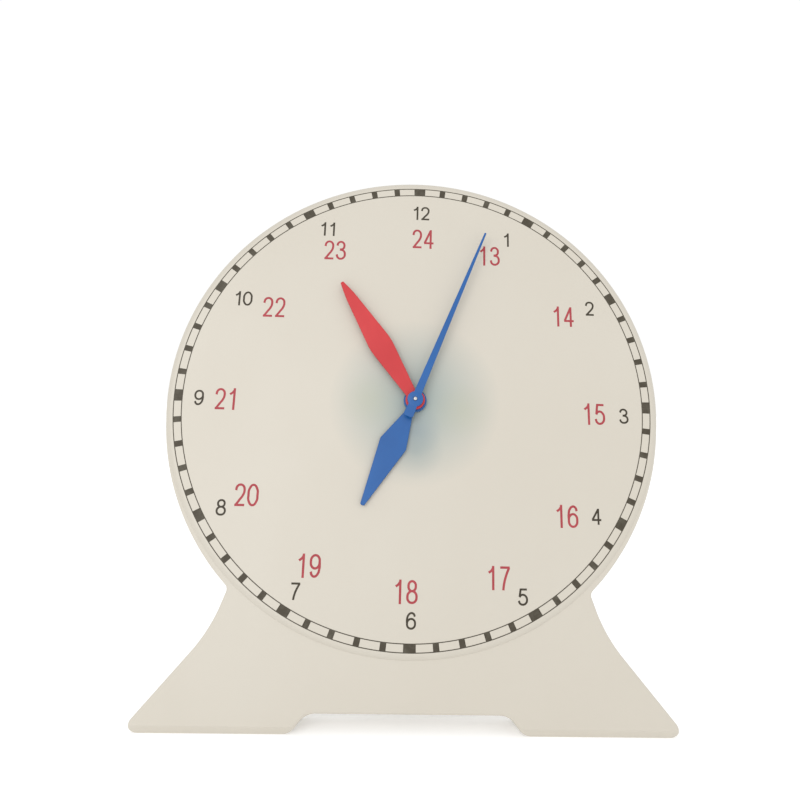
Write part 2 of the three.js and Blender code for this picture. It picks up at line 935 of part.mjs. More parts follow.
// The prop leg, drawn hanging down from its pivot with its front face towards +z, then swung open

function propLeg() {
  const width = propTopWidth;
  const plateFront = propThickness / 2;
  const bottom = -propLength - propFlangeDepth * Math.tan(openAngle - lean);
  const outline = roundedOutline(
    mirrored([
      [propNotchHalf - propNotchRadius / 2, bottom + propNotchHeight, propNotchRadius / 2],
      [propNotchHalf, bottom, propNotchRadius / 4],
      [propFootWidth / 2, bottom, propCornerRadius],
      [width / 2, -barrelRadius, 0],
      [width / 2, propHeel, propThickness / 2],
    ]),
  );
  const plate = prism(outline, -plateFront, plateFront);
  const tray = roundedOutline(
    mirrored([
      [
        propFootWidth / 2 - propFlangeWidth,
        bottom + propNotchHeight + propFlangeWidth,
        propCornerRadius - propFlangeWidth,
      ],
      [width / 2 - propFlangeWidth, propHeel, 0],
    ]),
  );
  const flanges = cut(
    prism(outline, -plateFront - propFlangeDepth, plateFront),
    prism(tray, -plateFront - propFlangeDepth - overrun, plateFront + overrun),
    block(2 * width, -barrelRadius - overrun, 2 * barrelRadius, -2 * propFlangeDepth, -plateFront),
  );
  const ribs = [];
  for (let i = 1; i <= propRibCount; i++) {
    const y = (-propLength * i) / (propRibCount + 1);
    ribs.push(
      block(width, y - propFlangeWidth / 2, y + propFlangeWidth / 2, -plateFront - propFlangeDepth / 2, 0),
    );
  }
  const barrel = crossBar(barrelRadius, width, 0, 0);
  const bore = crossBar(hingePinRadius + runningGap, 2 * width, 0, 0, 20);
  const leg = cut(joined(plate, flanges, ...ribs, barrel), bore);
  const placed = leg.rotate([openDegrees, 0, 0]).translate([0, pivot.x, pivot.y]);
  const caseSpace = block(2 * propTopWidth, -footDrop, footDrop, caseBack - seatGap, footDrop);
  return cut(placed, caseSpace, belowTable());
}

function hingePin() {
  const length = propTopWidth + 2 * (seatGap + hingeEarThickness);
  return crossBar(hingePinRadius, length, pivot.x, pivot.y, 20);
}

// Materials

const whitePlastic = { color: 0xdfd9cd, roughness: 0.45, metalness: 0 };
const clearPlastic = { color: 0xdde8ec, roughness: 0.1, metalness: 0, transparent: true, opacity: 0.35 };
const bluePlastic = { color: 0x2f5fb0, roughness: 0.4, metalness: 0 };
const redPlastic = { color: 0xd23a3c, roughness: 0.4, metalness: 0 };
const greenPlastic = { color: 0x4c9a5a, roughness: 0.5, metalness: 0 };
const tealPlastic = { color: 0x3c9a9c, roughness: 0.5, metalness: 0 };
const steel = { color: 0xb9bcc0, roughness: 0.3, metalness: 1 };

// One named mesh, with its own material
function piece(name, body, look, { x = 0, y = 0, z = 0, turn = 0 } = {}) {
  const mesh = new THREE.Mesh(geometryOf(body), new THREE.MeshStandardMaterial(look));
  mesh.name = name;
  mesh.position.set(x, y, z);
  mesh.rotation.z = turn;
  return mesh;
}

function handTurn(degrees) {
  return -THREE.MathUtils.degToRad(degrees);
}

function caseGroup() {
  const group = new THREE.Group();
  group.add(piece("front_case", frontCase(), whitePlastic));
  group.add(piece("back_cover", backCover(), whitePlastic));
  group.add(piece("gear_cover", gearCover(), clearPlastic));
  group.add(piece("centre_bush", centreBush(), whitePlastic));
  caseScrewPlaces().forEach(({ x, y }, i) => {
    const z = caseBack + screwHeadHeight;
    group.add(piece(`case_screw_${i + 1}`, screw(screwLength), steel, { x, y, z }));
  });
  coverScrewPlaces().forEach(({ x, y }, i) => {
    const z = gearCoverBack - seatGap;
    const length = coverScrewLength + gearCoverThickness;
    group.add(piece(`cover_screw_${i + 1}`, screw(length), steel, { x, y, z }));
  });
  return group;
}

function motionWorkGroup() {
  const group = new THREE.Group();
  group.add(piece("hour_wheel", hourWheel(), greenPlastic, { turn: hourWheelTurn }));
  group.add(piece("motion_gear", motionGear(), tealPlastic, { ...xy(motionPlace), turn: motionTurn }));
  group.add(piece("motion_pin", motionPin(), steel, xy(motionPlace)));
  group.add(piece("motion_clip", motionClip(), steel, xy(motionPlace)));
  group.add(piece("cannon_pinion", cannonPinion(), tealPlastic, { turn: cannonTurn }));
  return group;
}

function xy({ x, y }) {
  return { x, y };
}

function secondsTrainGroup() {
  const group = new THREE.Group();
  const pinionBack = centreWheelBack - pinionOverhang;
  const pinionFront = centreWheelBack + faceWidth + pinionOverhang;
  const thirdPinion = pinionOnArbor(thirdPinionGear, pinionBack, pinionFront);
  const secondPinion = pinionOnArbor(
    secondPinionGear,
    thirdWheelBack - pinionOverhang,
    thirdWheelBack + faceWidth + pinionOverhang,
  );
  group.add(piece("centre_wheel", centreWheel(), greenPlastic, { z: centreWheelBack, turn: centreTurn }));
  group.add(piece("third_arbor", thirdArbor(), steel, xy(thirdPlace)));
  group.add(piece("third_pinion", thirdPinion, tealPlastic, { ...xy(thirdPlace), turn: thirdPinionTurn }));
  group.add(
    piece("third_wheel", thirdWheel(), greenPlastic, {
      ...xy(thirdPlace),
      z: thirdWheelBack,
      turn: thirdWheelTurn,
    }),
  );
  group.add(piece("second_pinion", secondPinion, tealPlastic, { turn: secondPinionTurn }));
  group.add(piece("second_arbor", secondArbor(), steel));
  group.add(piece("setting_knob", settingKnob(), bluePlastic, xy(thirdPlace)));
  return group;
}

function handsGroup() {
  const group = new THREE.Group();
  const hour = { z: hourHandBack, turn: handTurn(hourHandDegrees) };
  const minute = { z: minuteHandBack, turn: handTurn(minuteHandDegrees) };
  const second = { z: secondHandBack, turn: handTurn(secondHandDegrees) };
  group.add(piece("hour_hand", hourHand(), bluePlastic, hour));
  group.add(piece("minute_hand", minuteHand(), redPlastic, minute));
  group.add(piece("second_hand", secondHand(), bluePlastic, second));
  return group;
}

function propGroup() {
  const group = new THREE.Group();
  group.add(piece("prop_leg", propLeg(), whitePlastic));
  group.add(piece("hinge_pin", hingePin(), steel));
  return group;
}

const clock = new THREE.Group();
clock.add(caseGroup(), motionWorkGroup(), secondsTrainGroup(), handsGroup(), propGroup());
clock.rotation.x = Math.PI / 2 - lean;

const root = new THREE.Group();
root.add(clock);
const box = new THREE.Box3().setFromObject(root, true);
const middle = box.getCenter(new THREE.Vector3());
clock.position.set(-middle.x, -middle.y, -box.min.z);

export default root;
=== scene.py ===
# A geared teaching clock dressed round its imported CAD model.
# Shapes are drawn in millimetres in the dial's own frame (x right, y up the dial, z out of its
# printed face) and are then put into the model's frame, which is in metres.
import json
import math

import bmesh
import bpy
from mathutils import Matrix, Vector


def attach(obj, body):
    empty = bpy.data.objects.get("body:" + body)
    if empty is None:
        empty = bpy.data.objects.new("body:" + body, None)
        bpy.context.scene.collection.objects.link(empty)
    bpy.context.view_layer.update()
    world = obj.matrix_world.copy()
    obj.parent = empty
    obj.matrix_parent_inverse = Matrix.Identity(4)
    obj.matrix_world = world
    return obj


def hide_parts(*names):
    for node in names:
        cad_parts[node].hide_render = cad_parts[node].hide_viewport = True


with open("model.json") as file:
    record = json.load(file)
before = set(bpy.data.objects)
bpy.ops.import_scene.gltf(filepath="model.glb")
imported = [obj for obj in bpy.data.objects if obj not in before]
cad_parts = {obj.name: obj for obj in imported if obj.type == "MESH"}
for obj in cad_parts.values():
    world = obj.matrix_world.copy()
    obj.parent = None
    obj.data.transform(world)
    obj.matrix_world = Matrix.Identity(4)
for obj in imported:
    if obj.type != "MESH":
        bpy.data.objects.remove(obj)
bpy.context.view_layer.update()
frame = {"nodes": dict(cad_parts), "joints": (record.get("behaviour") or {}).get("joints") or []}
print("frame loaded:", len(frame["nodes"]), "nodes")

bpy.context.scene.view_settings.view_transform = "Standard"
bpy.context.scene.view_settings.look = "None"

# The dial's frame, from the joint that carries the minute hand
centreJoint = next(j for j in frame["joints"] if j["name"] == "minute_turn")
dialOut = -Vector(centreJoint["axis"])
dialRight = Vector((1, 0, 0))
dialUp = dialOut.cross(dialRight)
dialTurn = Matrix((dialRight, dialUp, dialOut)).transposed()
dialCentre = Vector(centreJoint["pos_m"])
dialPlace = Matrix.Translation(dialCentre) @ dialTurn.to_4x4() @ Matrix.Scale(0.001, 4)
dialLean = math.atan2(dialUp.y, dialUp.z)

# Heights out of the dial's face, shared by several pieces
levels = {
    "standFace": -1.0,
    "dialBack": -2.2,
    "hourWheelBack": -5.8,
    "coverFront": -16.45,
    "caseBack": -18.65,
    "gearCoverFront": -18.9,
    "gearCoverBack": -20.9,
}
# Axes of the third arbor and the motion pin, middle of the window, hinge of the prop leg
thirdPlace = Matrix.Translation((19.8054, -2.7835, 0))
motionPlace = Matrix.Translation((-15, 0, 0))
windowPlace = Matrix.Translation((5.617, -0.789, 0))
windowRadius = 34.15
pivotPlace = Vector((0, -51, -22.4))
hingePlace = Matrix.Translation(pivotPlace) @ Matrix.Rotation(math.radians(90), 4, "Y")

# Steps of a full turn
turnSteps = {
    "dial": 256,
    "gearCover": 160,
    "window": 128,
    "handBoss": 96,
    "handBore": 64,
    "bush": 64,
    "arbor": 48,
    "screw": 32,
}
tiny = 0.001  # measures closer than this are the same
past = 1.0  # a cutting shape reaches this far past what it cuts
seam = 0.02  # faces of joined shapes stay this far out of one plane


# Materials

def newMaterial(name, roughness, specular=0.5):
    material = bpy.data.materials.new(name)
    material.use_nodes = True
    shader = material.node_tree.nodes["Principled BSDF"]
    shader.inputs["Roughness"].default_value = roughness
    shader.inputs["Specular IOR Level"].default_value = specular
    return material, material.node_tree.nodes, material.node_tree.links, shader


def objectPlace(nodes, links, scale=(1, 1, 1), rotation=(0, 0, 0), location=(0, 0, 0)):
    coordinates = nodes.new("ShaderNodeTexCoord")
    mapping = nodes.new("ShaderNodeMapping")
    mapping.inputs["Scale"].default_value = scale
    mapping.inputs["Rotation"].default_value = rotation
    mapping.inputs["Location"].default_value = location
    links.new(coordinates.outputs["Object"], mapping.inputs["Vector"])
    return mapping.outputs["Vector"]


def noiseOf(nodes, links, vector, scale, detail=3, roughness=0.5):
    noise = nodes.new("ShaderNodeTexNoise")
    noise.inputs["Scale"].default_value = scale
    noise.inputs["Detail"].default_value = detail
    noise.inputs["Roughness"].default_value = roughness
    links.new(vector, noise.inputs["Vector"])
    return noise.outputs["Fac"]


def rangeOf(nodes, links, value, low, high, fromLow=0.3, fromHigh=0.7):
    span = nodes.new("ShaderNodeMapRange")
    span.inputs["From Min"].default_value = fromLow
    span.inputs["From Max"].default_value = fromHigh
    span.inputs["To Min"].default_value = low
    span.inputs["To Max"].default_value = high
    links.new(value, span.inputs["Value"])
    return span.outputs["Result"]


def mixOf(nodes, links, factor, first, second):
    mix = nodes.new("ShaderNodeMix")
    mix.data_type = "RGBA"
    links.new(factor, mix.inputs["Factor"])
    for value, socket in ((first, mix.inputs[6]), (second, mix.inputs[7])):
        if isinstance(value, tuple):
            socket.default_value = (*value, 1)
        else:
            links.new(value, socket)
    return mix.outputs[2]


def addBump(nodes, links, shader, height, distance):
    bump = nodes.new("ShaderNodeBump")
    bump.inputs["Distance"].default_value = distance
    links.new(height, bump.inputs["Height"])
    links.new(bump.outputs["Normal"], shader.inputs["Normal"])


# A moulded plastic: soft clouds and flow streaks in its colour, and a fine grain in its surface
mouldedLook = {
    "flowStretch": (1, 0.3, 0.3),
    "flowTurn": (0, 0.5, 0.3),
    "flowScale": 6,
    "smoother": 0.05,
    "rougher": 0.07,
}


def mouldedPlastic(name, look):
    material, nodes, links, shader = newMaterial(name, look["roughness"])
    place = objectPlace(nodes, links)
    flowPlace = objectPlace(
        nodes, links, scale=mouldedLook["flowStretch"], rotation=mouldedLook["flowTurn"]
    )
    patches = noiseOf(nodes, links, place, look["cloudScale"], detail=4)
    flowScale = look["cloudScale"] * mouldedLook["flowScale"]
    flow = noiseOf(nodes, links, flowPlace, flowScale, detail=5)
    cloud = rangeOf(nodes, links, patches, 0, 1)
    streak = rangeOf(nodes, links, flow, 0, look["streaks"])
    colour = mixOf(nodes, links, cloud, look["colour"], look["shade"])
    colour = mixOf(nodes, links, streak, colour, look["shade"])
    links.new(colour, shader.inputs["Base Color"])
    low = look["roughness"] - mouldedLook["smoother"]
    high = look["roughness"] + mouldedLook["rougher"]
    links.new(rangeOf(nodes, links, patches, low, high), shader.inputs["Roughness"])
    grain = noiseOf(nodes, links, place, look["grainScale"], detail=2)
    addBump(nodes, links, shader, grain, look["grainHeight"])
    return material, nodes, links, shader, colour


caseLook = {
    "colour": (0.56, 0.524, 0.454),
    "shade": (0.543, 0.504, 0.432),
    "roughness": 0.42,
    "cloudScale": 9,
    "streaks": 0.35,
    "grainScale": 1400,
    "grainHeight": 0.00002,
}
casePlastic = mouldedPlastic("case plastic", caseLook)[0]

backLook = {**caseLook, "roughness": 0.56, "grainScale": 1500, "grainHeight": 0.00004}
backPlastic = mouldedPlastic("back plastic with a fine grain", backLook)[0]

# The dial is the same milky plastic. Its colour holds painted shade: the greenish shade of the
# wheels behind it, as they show through the thin dial, part of the hour hand's shadow below the hub,
# and a darker band along its edge
dialLook = {
    **caseLook,
    "roughness": 0.36,
    "grainHeight": 0.00001,
    # painted shade darkening the dial along its edge
    "edge": {"from": 118.4, "to": 120.4, "paintedShade": (0.46, 0.43, 0.37), "amount": 0.25},
    # painted shade of the wheels behind, seen through the thin dial; the lobe at (1, -15) is partly
    # the hour hand's painted shadow
    "wheels": [
        {"place": (0, 0), "clear": 2, "fade": 43, "paintedShade": (0.285, 0.345, 0.328), "amount": 1},
        {"place": (-23, 0), "clear": 2, "fade": 15, "paintedShade": (0.4, 0.41, 0.29), "amount": 0.3},
        {"place": (24, -4), "clear": 2, "fade": 15, "paintedShade": (0.4, 0.41, 0.29), "amount": 0.3},
        {"place": (1, -15), "clear": 1, "fade": 13, "paintedShade": (0.19, 0.25, 0.29), "amount": 0.5},
        {"place": (1, -25), "clear": 1, "fade": 14, "paintedShade": (0.2, 0.26, 0.27), "amount": 0.45},
    ],
}


# The distance of a point of the dial from a place on it
def reachOf(nodes, links, flat, place):
    apart = nodes.new("ShaderNodeVectorMath")
    apart.operation = "SUBTRACT"
    apart.inputs[1].default_value = (*[mm / 1000 for mm in place], 0)
    links.new(flat, apart.inputs[0])
    reach = nodes.new("ShaderNodeVectorMath")
    reach.operation = "LENGTH"
    links.new(apart.outputs["Vector"], reach.inputs[0])
    return reach.outputs["Value"]


def dialPlastic(look):
    material, nodes, links, shader, colour = mouldedPlastic("milky dial plastic with painted shade", look)
    turn = dialTurn.transposed().to_euler()
    shift = -(dialTurn.transposed() @ dialCentre)
    flat = objectPlace(nodes, links, rotation=turn, location=shift)
    # painted shade of the wheels behind the dial and of the hour hand's shadow
    for wheel in look["wheels"]:
        reach = reachOf(nodes, links, flat, wheel["place"])
        near, far = wheel["clear"] / 1000, wheel["fade"] / 1000
        share = rangeOf(nodes, links, reach, wheel["amount"], 0, near, far)
        colour = mixOf(nodes, links, share, colour, wheel["paintedShade"])
    # painted shade: the dial grows darker along its edge
    edge = look["edge"]
    reach = reachOf(nodes, links, flat, (0, 0))
    share = rangeOf(nodes, links, reach, 0, edge["amount"], edge["from"] / 1000, edge["to"] / 1000)
    colour = mixOf(nodes, links, share, colour, edge["paintedShade"])
    links.new(colour, shader.inputs["Base Color"])
    return material


dialMilk = dialPlastic(dialLook)

gearLook = {
    "roughness": 0.36,
    "cloudScale": 60,
    "streaks": 0.5,
    "grainScale": 2600,
    "grainHeight": 0.00002,
}
greenPlastic = mouldedPlastic(
    "green gear plastic", {**gearLook, "colour": (0.07, 0.33, 0.12), "shade": (0.05, 0.26, 0.09)}
)[0]
tealPlastic = mouldedPlastic(
    "teal gear plastic", {**gearLook, "colour": (0.04, 0.33, 0.36), "shade": (0.03, 0.26, 0.3)}
)[0]

handLook = {
    "roughness": 0.34,
    "cloudScale": 45,
    "streaks": 0.4,
    "grainScale": 2400,
    "grainHeight": 0.00001,
}
bluePlastic = mouldedPlastic(
    "blue plastic", {**handLook, "colour": (0.007, 0.1, 0.335), "shade": (0.005, 0.08, 0.28)}
)[0]
redPlastic = mouldedPlastic(
    "red plastic", {**handLook, "colour": (0.54, 0.026, 0.03), "shade": (0.47, 0.018, 0.022)}
)[0]


# Printing ink, a little worn and uneven
inkLook = {
    "roughness": 0.5,
    "specular": 0.35,
    "roughBetween": (0.42, 0.6),
    "wearScale": 260,
    "wearRoughness": 0.6,
    "wearBetween": (0.45, 0.75),
    "grainScale": 3000,
    "grainHeight": 0.00001,
}


def printInk(name, colour, pale):
    look = inkLook
    material, nodes, links, shader = newMaterial(name, look["roughness"], look["specular"])
    place = objectPlace(nodes, links)
    wear = noiseOf(nodes, links, place, look["wearScale"], detail=5, roughness=look["wearRoughness"])
    uneven = rangeOf(nodes, links, wear, 0, 1, *look["wearBetween"])
    links.new(mixOf(nodes, links, uneven, colour, pale), shader.inputs["Base Color"])
    grain = noiseOf(nodes, links, place, look["grainScale"], detail=2)
    links.new(rangeOf(nodes, links, grain, *look["roughBetween"]), shader.inputs["Roughness"])
    addBump(nodes, links, shader, grain, look["grainHeight"])
    return material


darkInk = printInk("dark ink", (0.052, 0.042, 0.026), (0.09, 0.08, 0.058))
numeralInk = printInk("dark ink of the numerals", (0.037, 0.029, 0.016), (0.057, 0.047, 0.031))
redInk = printInk("red ink", (0.34, 0.042, 0.052), (0.4, 0.062, 0.072))

# Bright drawn steel with fine lines along one direction
steelLook = {
    "colour": (0.6, 0.6, 0.59),
    "shade": (0.47, 0.47, 0.47),
    "roughness": 0.3,
    "roughBetween": (0.22, 0.42),
    "cloudScale": 400,
    "lineScale": 5200,
    "lineStretch": (1, 0.06, 0.06),
    "lineHeight": 0.00001,
}


def drawnSteel(name, look):
    material, nodes, links, shader = newMaterial(name, look["roughness"])
    shader.inputs["Metallic"].default_value = 1
    linePlace = objectPlace(nodes, links, scale=look["lineStretch"])
    fine = noiseOf(nodes, links, linePlace, look["lineScale"])
    cloud = noiseOf(nodes, links, objectPlace(nodes, links), look["cloudScale"])
    tone = rangeOf(nodes, links, cloud, 0, 1)
    colour = mixOf(nodes, links, tone, look["colour"], look["shade"])
    links.new(colour, shader.inputs["Base Color"])
    links.new(rangeOf(nodes, links, fine, *look["roughBetween"]), shader.inputs["Roughness"])
    addBump(nodes, links, shader, fine, look["lineHeight"])
    return material


steel = drawnSteel("drawn steel", steelLook)

# Clear polished plastic: what lies behind shows, most of all where it is seen straight on
clearLook = {
    "colour": (0.82, 0.87, 0.88),
    "shade": (0.74, 0.81, 0.83),
    "roughness": 0.07,
    "roughBetween": (0.05, 0.12),
    "facing": 0.35,
    "alphaBetween": (0.04, 0.36),
    "hazeScale": 70,
    "waveScale": 24,
    "waveHeight": 0.00012,
}


def clearSheet(name, look):
    material, nodes, links, shader = newMaterial(name, look["roughness"])
    place = objectPlace(nodes, links)
    haze = noiseOf(nodes, links, place, look["hazeScale"], detail=4)
    colour = mixOf(nodes, links, haze, look["colour"], look["shade"])
    links.new(colour, shader.inputs["Base Color"])
    links.new(rangeOf(nodes, links, haze, *look["roughBetween"]), shader.inputs["Roughness"])
    facing = nodes.new("ShaderNodeLayerWeight")
    facing.inputs["Blend"].default_value = look["facing"]
    sheen = rangeOf(nodes, links, facing.outputs["Facing"], *look["alphaBetween"], 0, 1)
    links.new(sheen, shader.inputs["Alpha"])
    wave = noiseOf(nodes, links, place, look["waveScale"], detail=2)
    addBump(nodes, links, shader, wave, look["waveHeight"])
    return material


clearPlastic = clearSheet("clear polished plastic", clearLook)


# Making and placing pieces

# Turns a bmesh in millimetres into a piece that rides on its body
def finishPiece(bm, name, body, material, nodes=(), place=None, crease=32):
    bmesh.ops.remove_doubles(bm, verts=bm.verts, dist=tiny / 2)
    bmesh.ops.recalc_face_normals(bm, faces=bm.faces)
    bm.transform(dialPlace if place is None else dialPlace @ place)
    mesh = bpy.data.meshes.new(name)
    bm.to_mesh(mesh)
    bm.free()
    dressPiece(mesh, name, body, material, nodes, crease)


def dressPiece(mesh, name, body, material, nodes, crease=32):
    mesh.shade_smooth()
    mesh.set_sharp_from_angle(angle=math.radians(crease))
    mesh.materials.clear()
    mesh.materials.append(material)
    piece = bpy.data.objects.new(name, mesh)
    bpy.context.scene.collection.objects.link(piece)
    weighted = piece.modifiers.new("flat faces stay flat", "WEIGHTED_NORMAL")
    weighted.keep_sharp = True
    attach(piece, body)
    if nodes:
        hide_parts(*nodes)


# A face with corners [x, y, rounding radius, steps], drawn anticlockwise
def cornerFace(bm, corners, z):
    verts = [bm.verts.new((x, y, z)) for x, y, *_ in corners]
    bm.faces.new(verts)
    for i, (x, y, radius, steps) in enumerate(corners):
        if not radius:
            continue
        here = Vector((x, y))
        before = here - Vector(corners[i - 1][:2])
        after = Vector(corners[(i + 1) % len(corners)][:2]) - here
        half = before.angle(after) / 2
        # A profile of 0.5 is a true arc at a square corner only
        arc = (1 - 0.5 / (1 + math.cos(half))) ** 2
        bmesh.ops.bevel(
            bm, geom=[verts[i]], offset=radius * math.tan(half), offset_type="OFFSET",
            segments=steps, profile=arc, affect="VERTICES", clamp_overlap=False, material=-1,
        )


def pullOut(bm, faces, depth):
    made = bmesh.ops.extrude_face_region(bm, geom=faces, use_keep_orig=True)["geom"]
    verts = [g for g in made if isinstance(g, bmesh.types.BMVert)]
    bmesh.ops.translate(bm, verts=verts, vec=(0, 0, depth))


def roundEdges(bm, edges, offset, steps):
    bmesh.ops.bevel(
        bm, geom=edges, offset=offset, offset_type="OFFSET", segments=steps,
        profile=0.5, affect="EDGES", clamp_overlap=True, material=-1,
    )


def edgesAtHeight(bm, z):
    return [e for e in bm.edges if all(abs(v.co.z - z) < tiny for v in e.verts)]


# Spins a profile of [radius, z] points about z; a closed profile joins its last point to its first
def turnProfile(bm, profile, steps, closed=False, place=None):
    old = set(bm.verts)
    verts = [bm.verts.new((radius, 0, z)) for radius, z in profile]
    edges = [bm.edges.new(pair) for pair in zip(verts, verts[1:])]
    if closed:
        edges.append(bm.edges.new((verts[-1], verts[0])))
    bmesh.ops.spin(
        bm, geom=verts + edges, cent=(0, 0, 0), axis=(0, 0, 1), angle=math.tau,
        steps=steps, use_merge=True,
    )
    new = [v for v in bm.verts if v not in old]
    if place is not None:
        bmesh.ops.transform(bm, matrix=place, verts=new)
    return new


def tube(bm, outer, inner, back, front, place=None, steps=turnSteps["arbor"]):
    profile = [(inner, back), (outer, back), (outer, front), (inner, front)]
    turnProfile(bm, profile, steps, closed=True, place=place)


# Points of a rounded corner of a profile, from one angle to another
def cornerArc(centre, radius, fromDegrees, toDegrees, steps):
    points = []
    for step in range(steps + 1):
        angle = math.radians(fromDegrees + (toDegrees - fromDegrees) * step / steps)
        points.append((centre[0] + radius * math.cos(angle), centre[1] + radius * math.sin(angle)))
    return points


def cutBelow(bm, point, normal):
    cut = bmesh.ops.bisect_plane(
        bm, geom=bm.verts[:] + bm.edges[:] + bm.faces[:], dist=tiny / 10, plane_co=point,
        plane_no=normal, clear_outer=True,
    )["geom_cut"]
    edges = [g for g in cut if isinstance(g, bmesh.types.BMEdge) and g.is_boundary]
    bmesh.ops.edgeloop_fill(bm, edges=edges)


# Cuts one bmesh with another, or joins the two
def combine(bm, otherBm, operation="DIFFERENCE"):
    pair = []
    for source in (bm, otherBm):
        bmesh.ops.remove_doubles(source, verts=source.verts, dist=tiny / 2)
        bmesh.ops.recalc_face_normals(source, faces=source.faces)
        mesh = bpy.data.meshes.new("working shape")
        source.to_mesh(mesh)
        source.free()
        worker = bpy.data.objects.new("workingShape", mesh)
        bpy.context.scene.collection.objects.link(worker)
        pair.append(worker)
    knife = pair[0].modifiers.new("combine", "BOOLEAN")
    knife.operation = operation
    knife.solver = "EXACT"
    knife.object = pair[1]
    depsgraph = bpy.context.evaluated_depsgraph_get()
    combined = bmesh.new()
    combined.from_mesh(bpy.data.meshes.new_from_object(pair[0].evaluated_get(depsgraph)))
    for worker in pair:
        bpy.data.objects.remove(worker)
    return combined


# Case: one moulding, with the two flared legs, the rim and the raised dial

caseSize = {
    "shellRadius": 122.0,
    "flare": 2.5,
    "neck": (84.91, -91.05, 3.0, 5),  # a corner is x, y, rounding radius, steps
    "legBend": (91.41, -109.89, 69.0, 14),
    "toe": (127.21, -153.49, 3.6, 10),
    "archFoot": (52.4, -153.49, 7.5, 8),
    "archTop": (45.9, -144.69, 9.0, 8),
    "arcStart": 4,
    "arcSteps": 150,
    "edgeRound": 1.2,
    "rimRound": 1.4,
    "wall": 2.2,
    "chamferTop": 3.4,
    "chamferDepth": 2.3,
    "dialRadius": 122.25,
    "dialEdgeRound": 2.0,
    "dialEdgeSoft": 3.4,
    "dialStepIn": 0.5,
    "bushHole": 4.9,
}


def caseCorners(size):
    right = [size[corner] for corner in ("archTop", "archFoot", "toe", "legBend", "neck")]
    neckAngle = math.atan2(size["neck"][1], size["neck"][0])
    start = neckAngle + math.radians(size["arcStart"])
    sweep = math.pi - 2 * start
    arc = []
    for step in range(size["arcSteps"] + 1):
        angle = start + sweep * step / size["arcSteps"]
        below = max(0, -angle, angle - math.pi)
        radius = size["shellRadius"] - size["flare"] * below / neckAngle
        arc.append((radius * math.cos(angle), radius * math.sin(angle), 0, 0))
    left = [(-x, y, radius, steps) for x, y, radius, steps in reversed(right)]
    return right + arc + left


# A closed body with the case's outline, or with that outline moved inwards
def caseBody(inwards, back, front):
    bm = bmesh.new()
    cornerFace(bm, caseCorners(caseSize), back)
    if inwards:
        ring = bmesh.ops.inset_region(
            bm, faces=bm.faces[:], thickness=inwards, use_even_offset=True, use_boundary=True
        )["faces"]
        bmesh.ops.delete(bm, geom=ring, context="FACES")
    pullOut(bm, bm.faces[:], front - back)
    bmesh.ops.recalc_face_normals(bm, faces=bm.faces)
    return bm


# The feet end on the table, which is level while the case leans back
def cutAtTable(bm, raised=0):
    normal = Vector((0, -math.cos(dialLean), -math.sin(dialLean)))
    heel = Vector((0, caseSize["toe"][1], levels["standFace"] - caseSize["chamferDepth"]))
    cutBelow(bm, heel - normal * raised, normal)


def makeCaseShell(size):
    back, front, wall = levels["caseBack"], levels["standFace"], size["wall"]
    bm = caseBody(0, back, front)
    roundEdges(bm, edgesAtHeight(bm, front), size["edgeRound"], steps=4)
    roundEdges(bm, edgesAtHeight(bm, back), size["rimRound"], steps=4)
    slope = (0, -size["chamferDepth"], size["chamferTop"])
    cutBelow(bm, (0, size["toe"][1] + size["chamferTop"], front), slope)
    cutAtTable(bm)
    hollow = caseBody(wall, back - past, front - wall)
    cutAtTable(hollow, wall)
    bm = combine(bm, hollow)
    well, wellRadius = bmesh.new(), size["shellRadius"] - wall
    tube(well, wellRadius, 0, front - 2 * wall, front + past, steps=turnSteps["dial"])
    bm = combine(bm, well)
    finishPiece(bm, "caseShell", "case", casePlastic, ["front_case"])


def makeDial(size):
    radius, edge = size["dialRadius"], size["dialEdgeRound"]
    back = levels["dialBack"]
    inShell = size["shellRadius"] - size["dialStepIn"]  # this step is buried in the shell's wall
    bm = bmesh.new()
    profile = [(size["bushHole"], 0), (size["bushHole"], back), (inShell, back)]
    profile += [(inShell, back - edge), (radius, back - edge)]
    for across, down in cornerArc((0, 0), 1, 0, 90, steps=10):
        profile.append((radius + size["dialEdgeSoft"] * (across - 1), edge * (down - 1)))
    turnProfile(bm, profile, turnSteps["dial"], closed=True)
    finishPiece(bm, "dialFace", "case", dialMilk)


# The case screws stand in a ring and in the legs, the gear cover's round the window
screwSpots = {
    "caseRadius": 109.3,
    "caseDegrees": (50, 130, -12, 192),
    "legs": ((96.91, -134.99), (-96.91, -134.99)),
    "coverRadius": 37.15,
    "coverDegrees": (45, 135, 225, 315),
}


def placesAround(radius, degrees):
    places = []
    for angle in [math.radians(a) for a in degrees]:
        places.append(Matrix.Translation((radius * math.cos(angle), radius * math.sin(angle), 0)))
    return places


screwPlaces = placesAround(screwSpots["caseRadius"], screwSpots["caseDegrees"])
screwPlaces += [Matrix.Translation((*leg, 0)) for leg in screwSpots["legs"]]
coverScrewPlaces = [
    windowPlace @ place
    for place in placesAround(screwSpots["coverRadius"], screwSpots["coverDegrees"])
]

# Walls and bosses moulded inside the case, seen through the clear cover
innerSize = {
    "gearRingWall": 1.6,
    "ringGap": 0.25,
    "thirdBossRadius": 2.9,
    "thirdBore": 1.2,
    "motionBossRadius": 2.0,
    "motionBossHeight": 0.7,
    "motionBore": 1.1,
    "screwBossRadius": 3.6,
    "screwBore": 1.45,
    "intoDial": 0.3,
    "intoFace": 0.5,
}


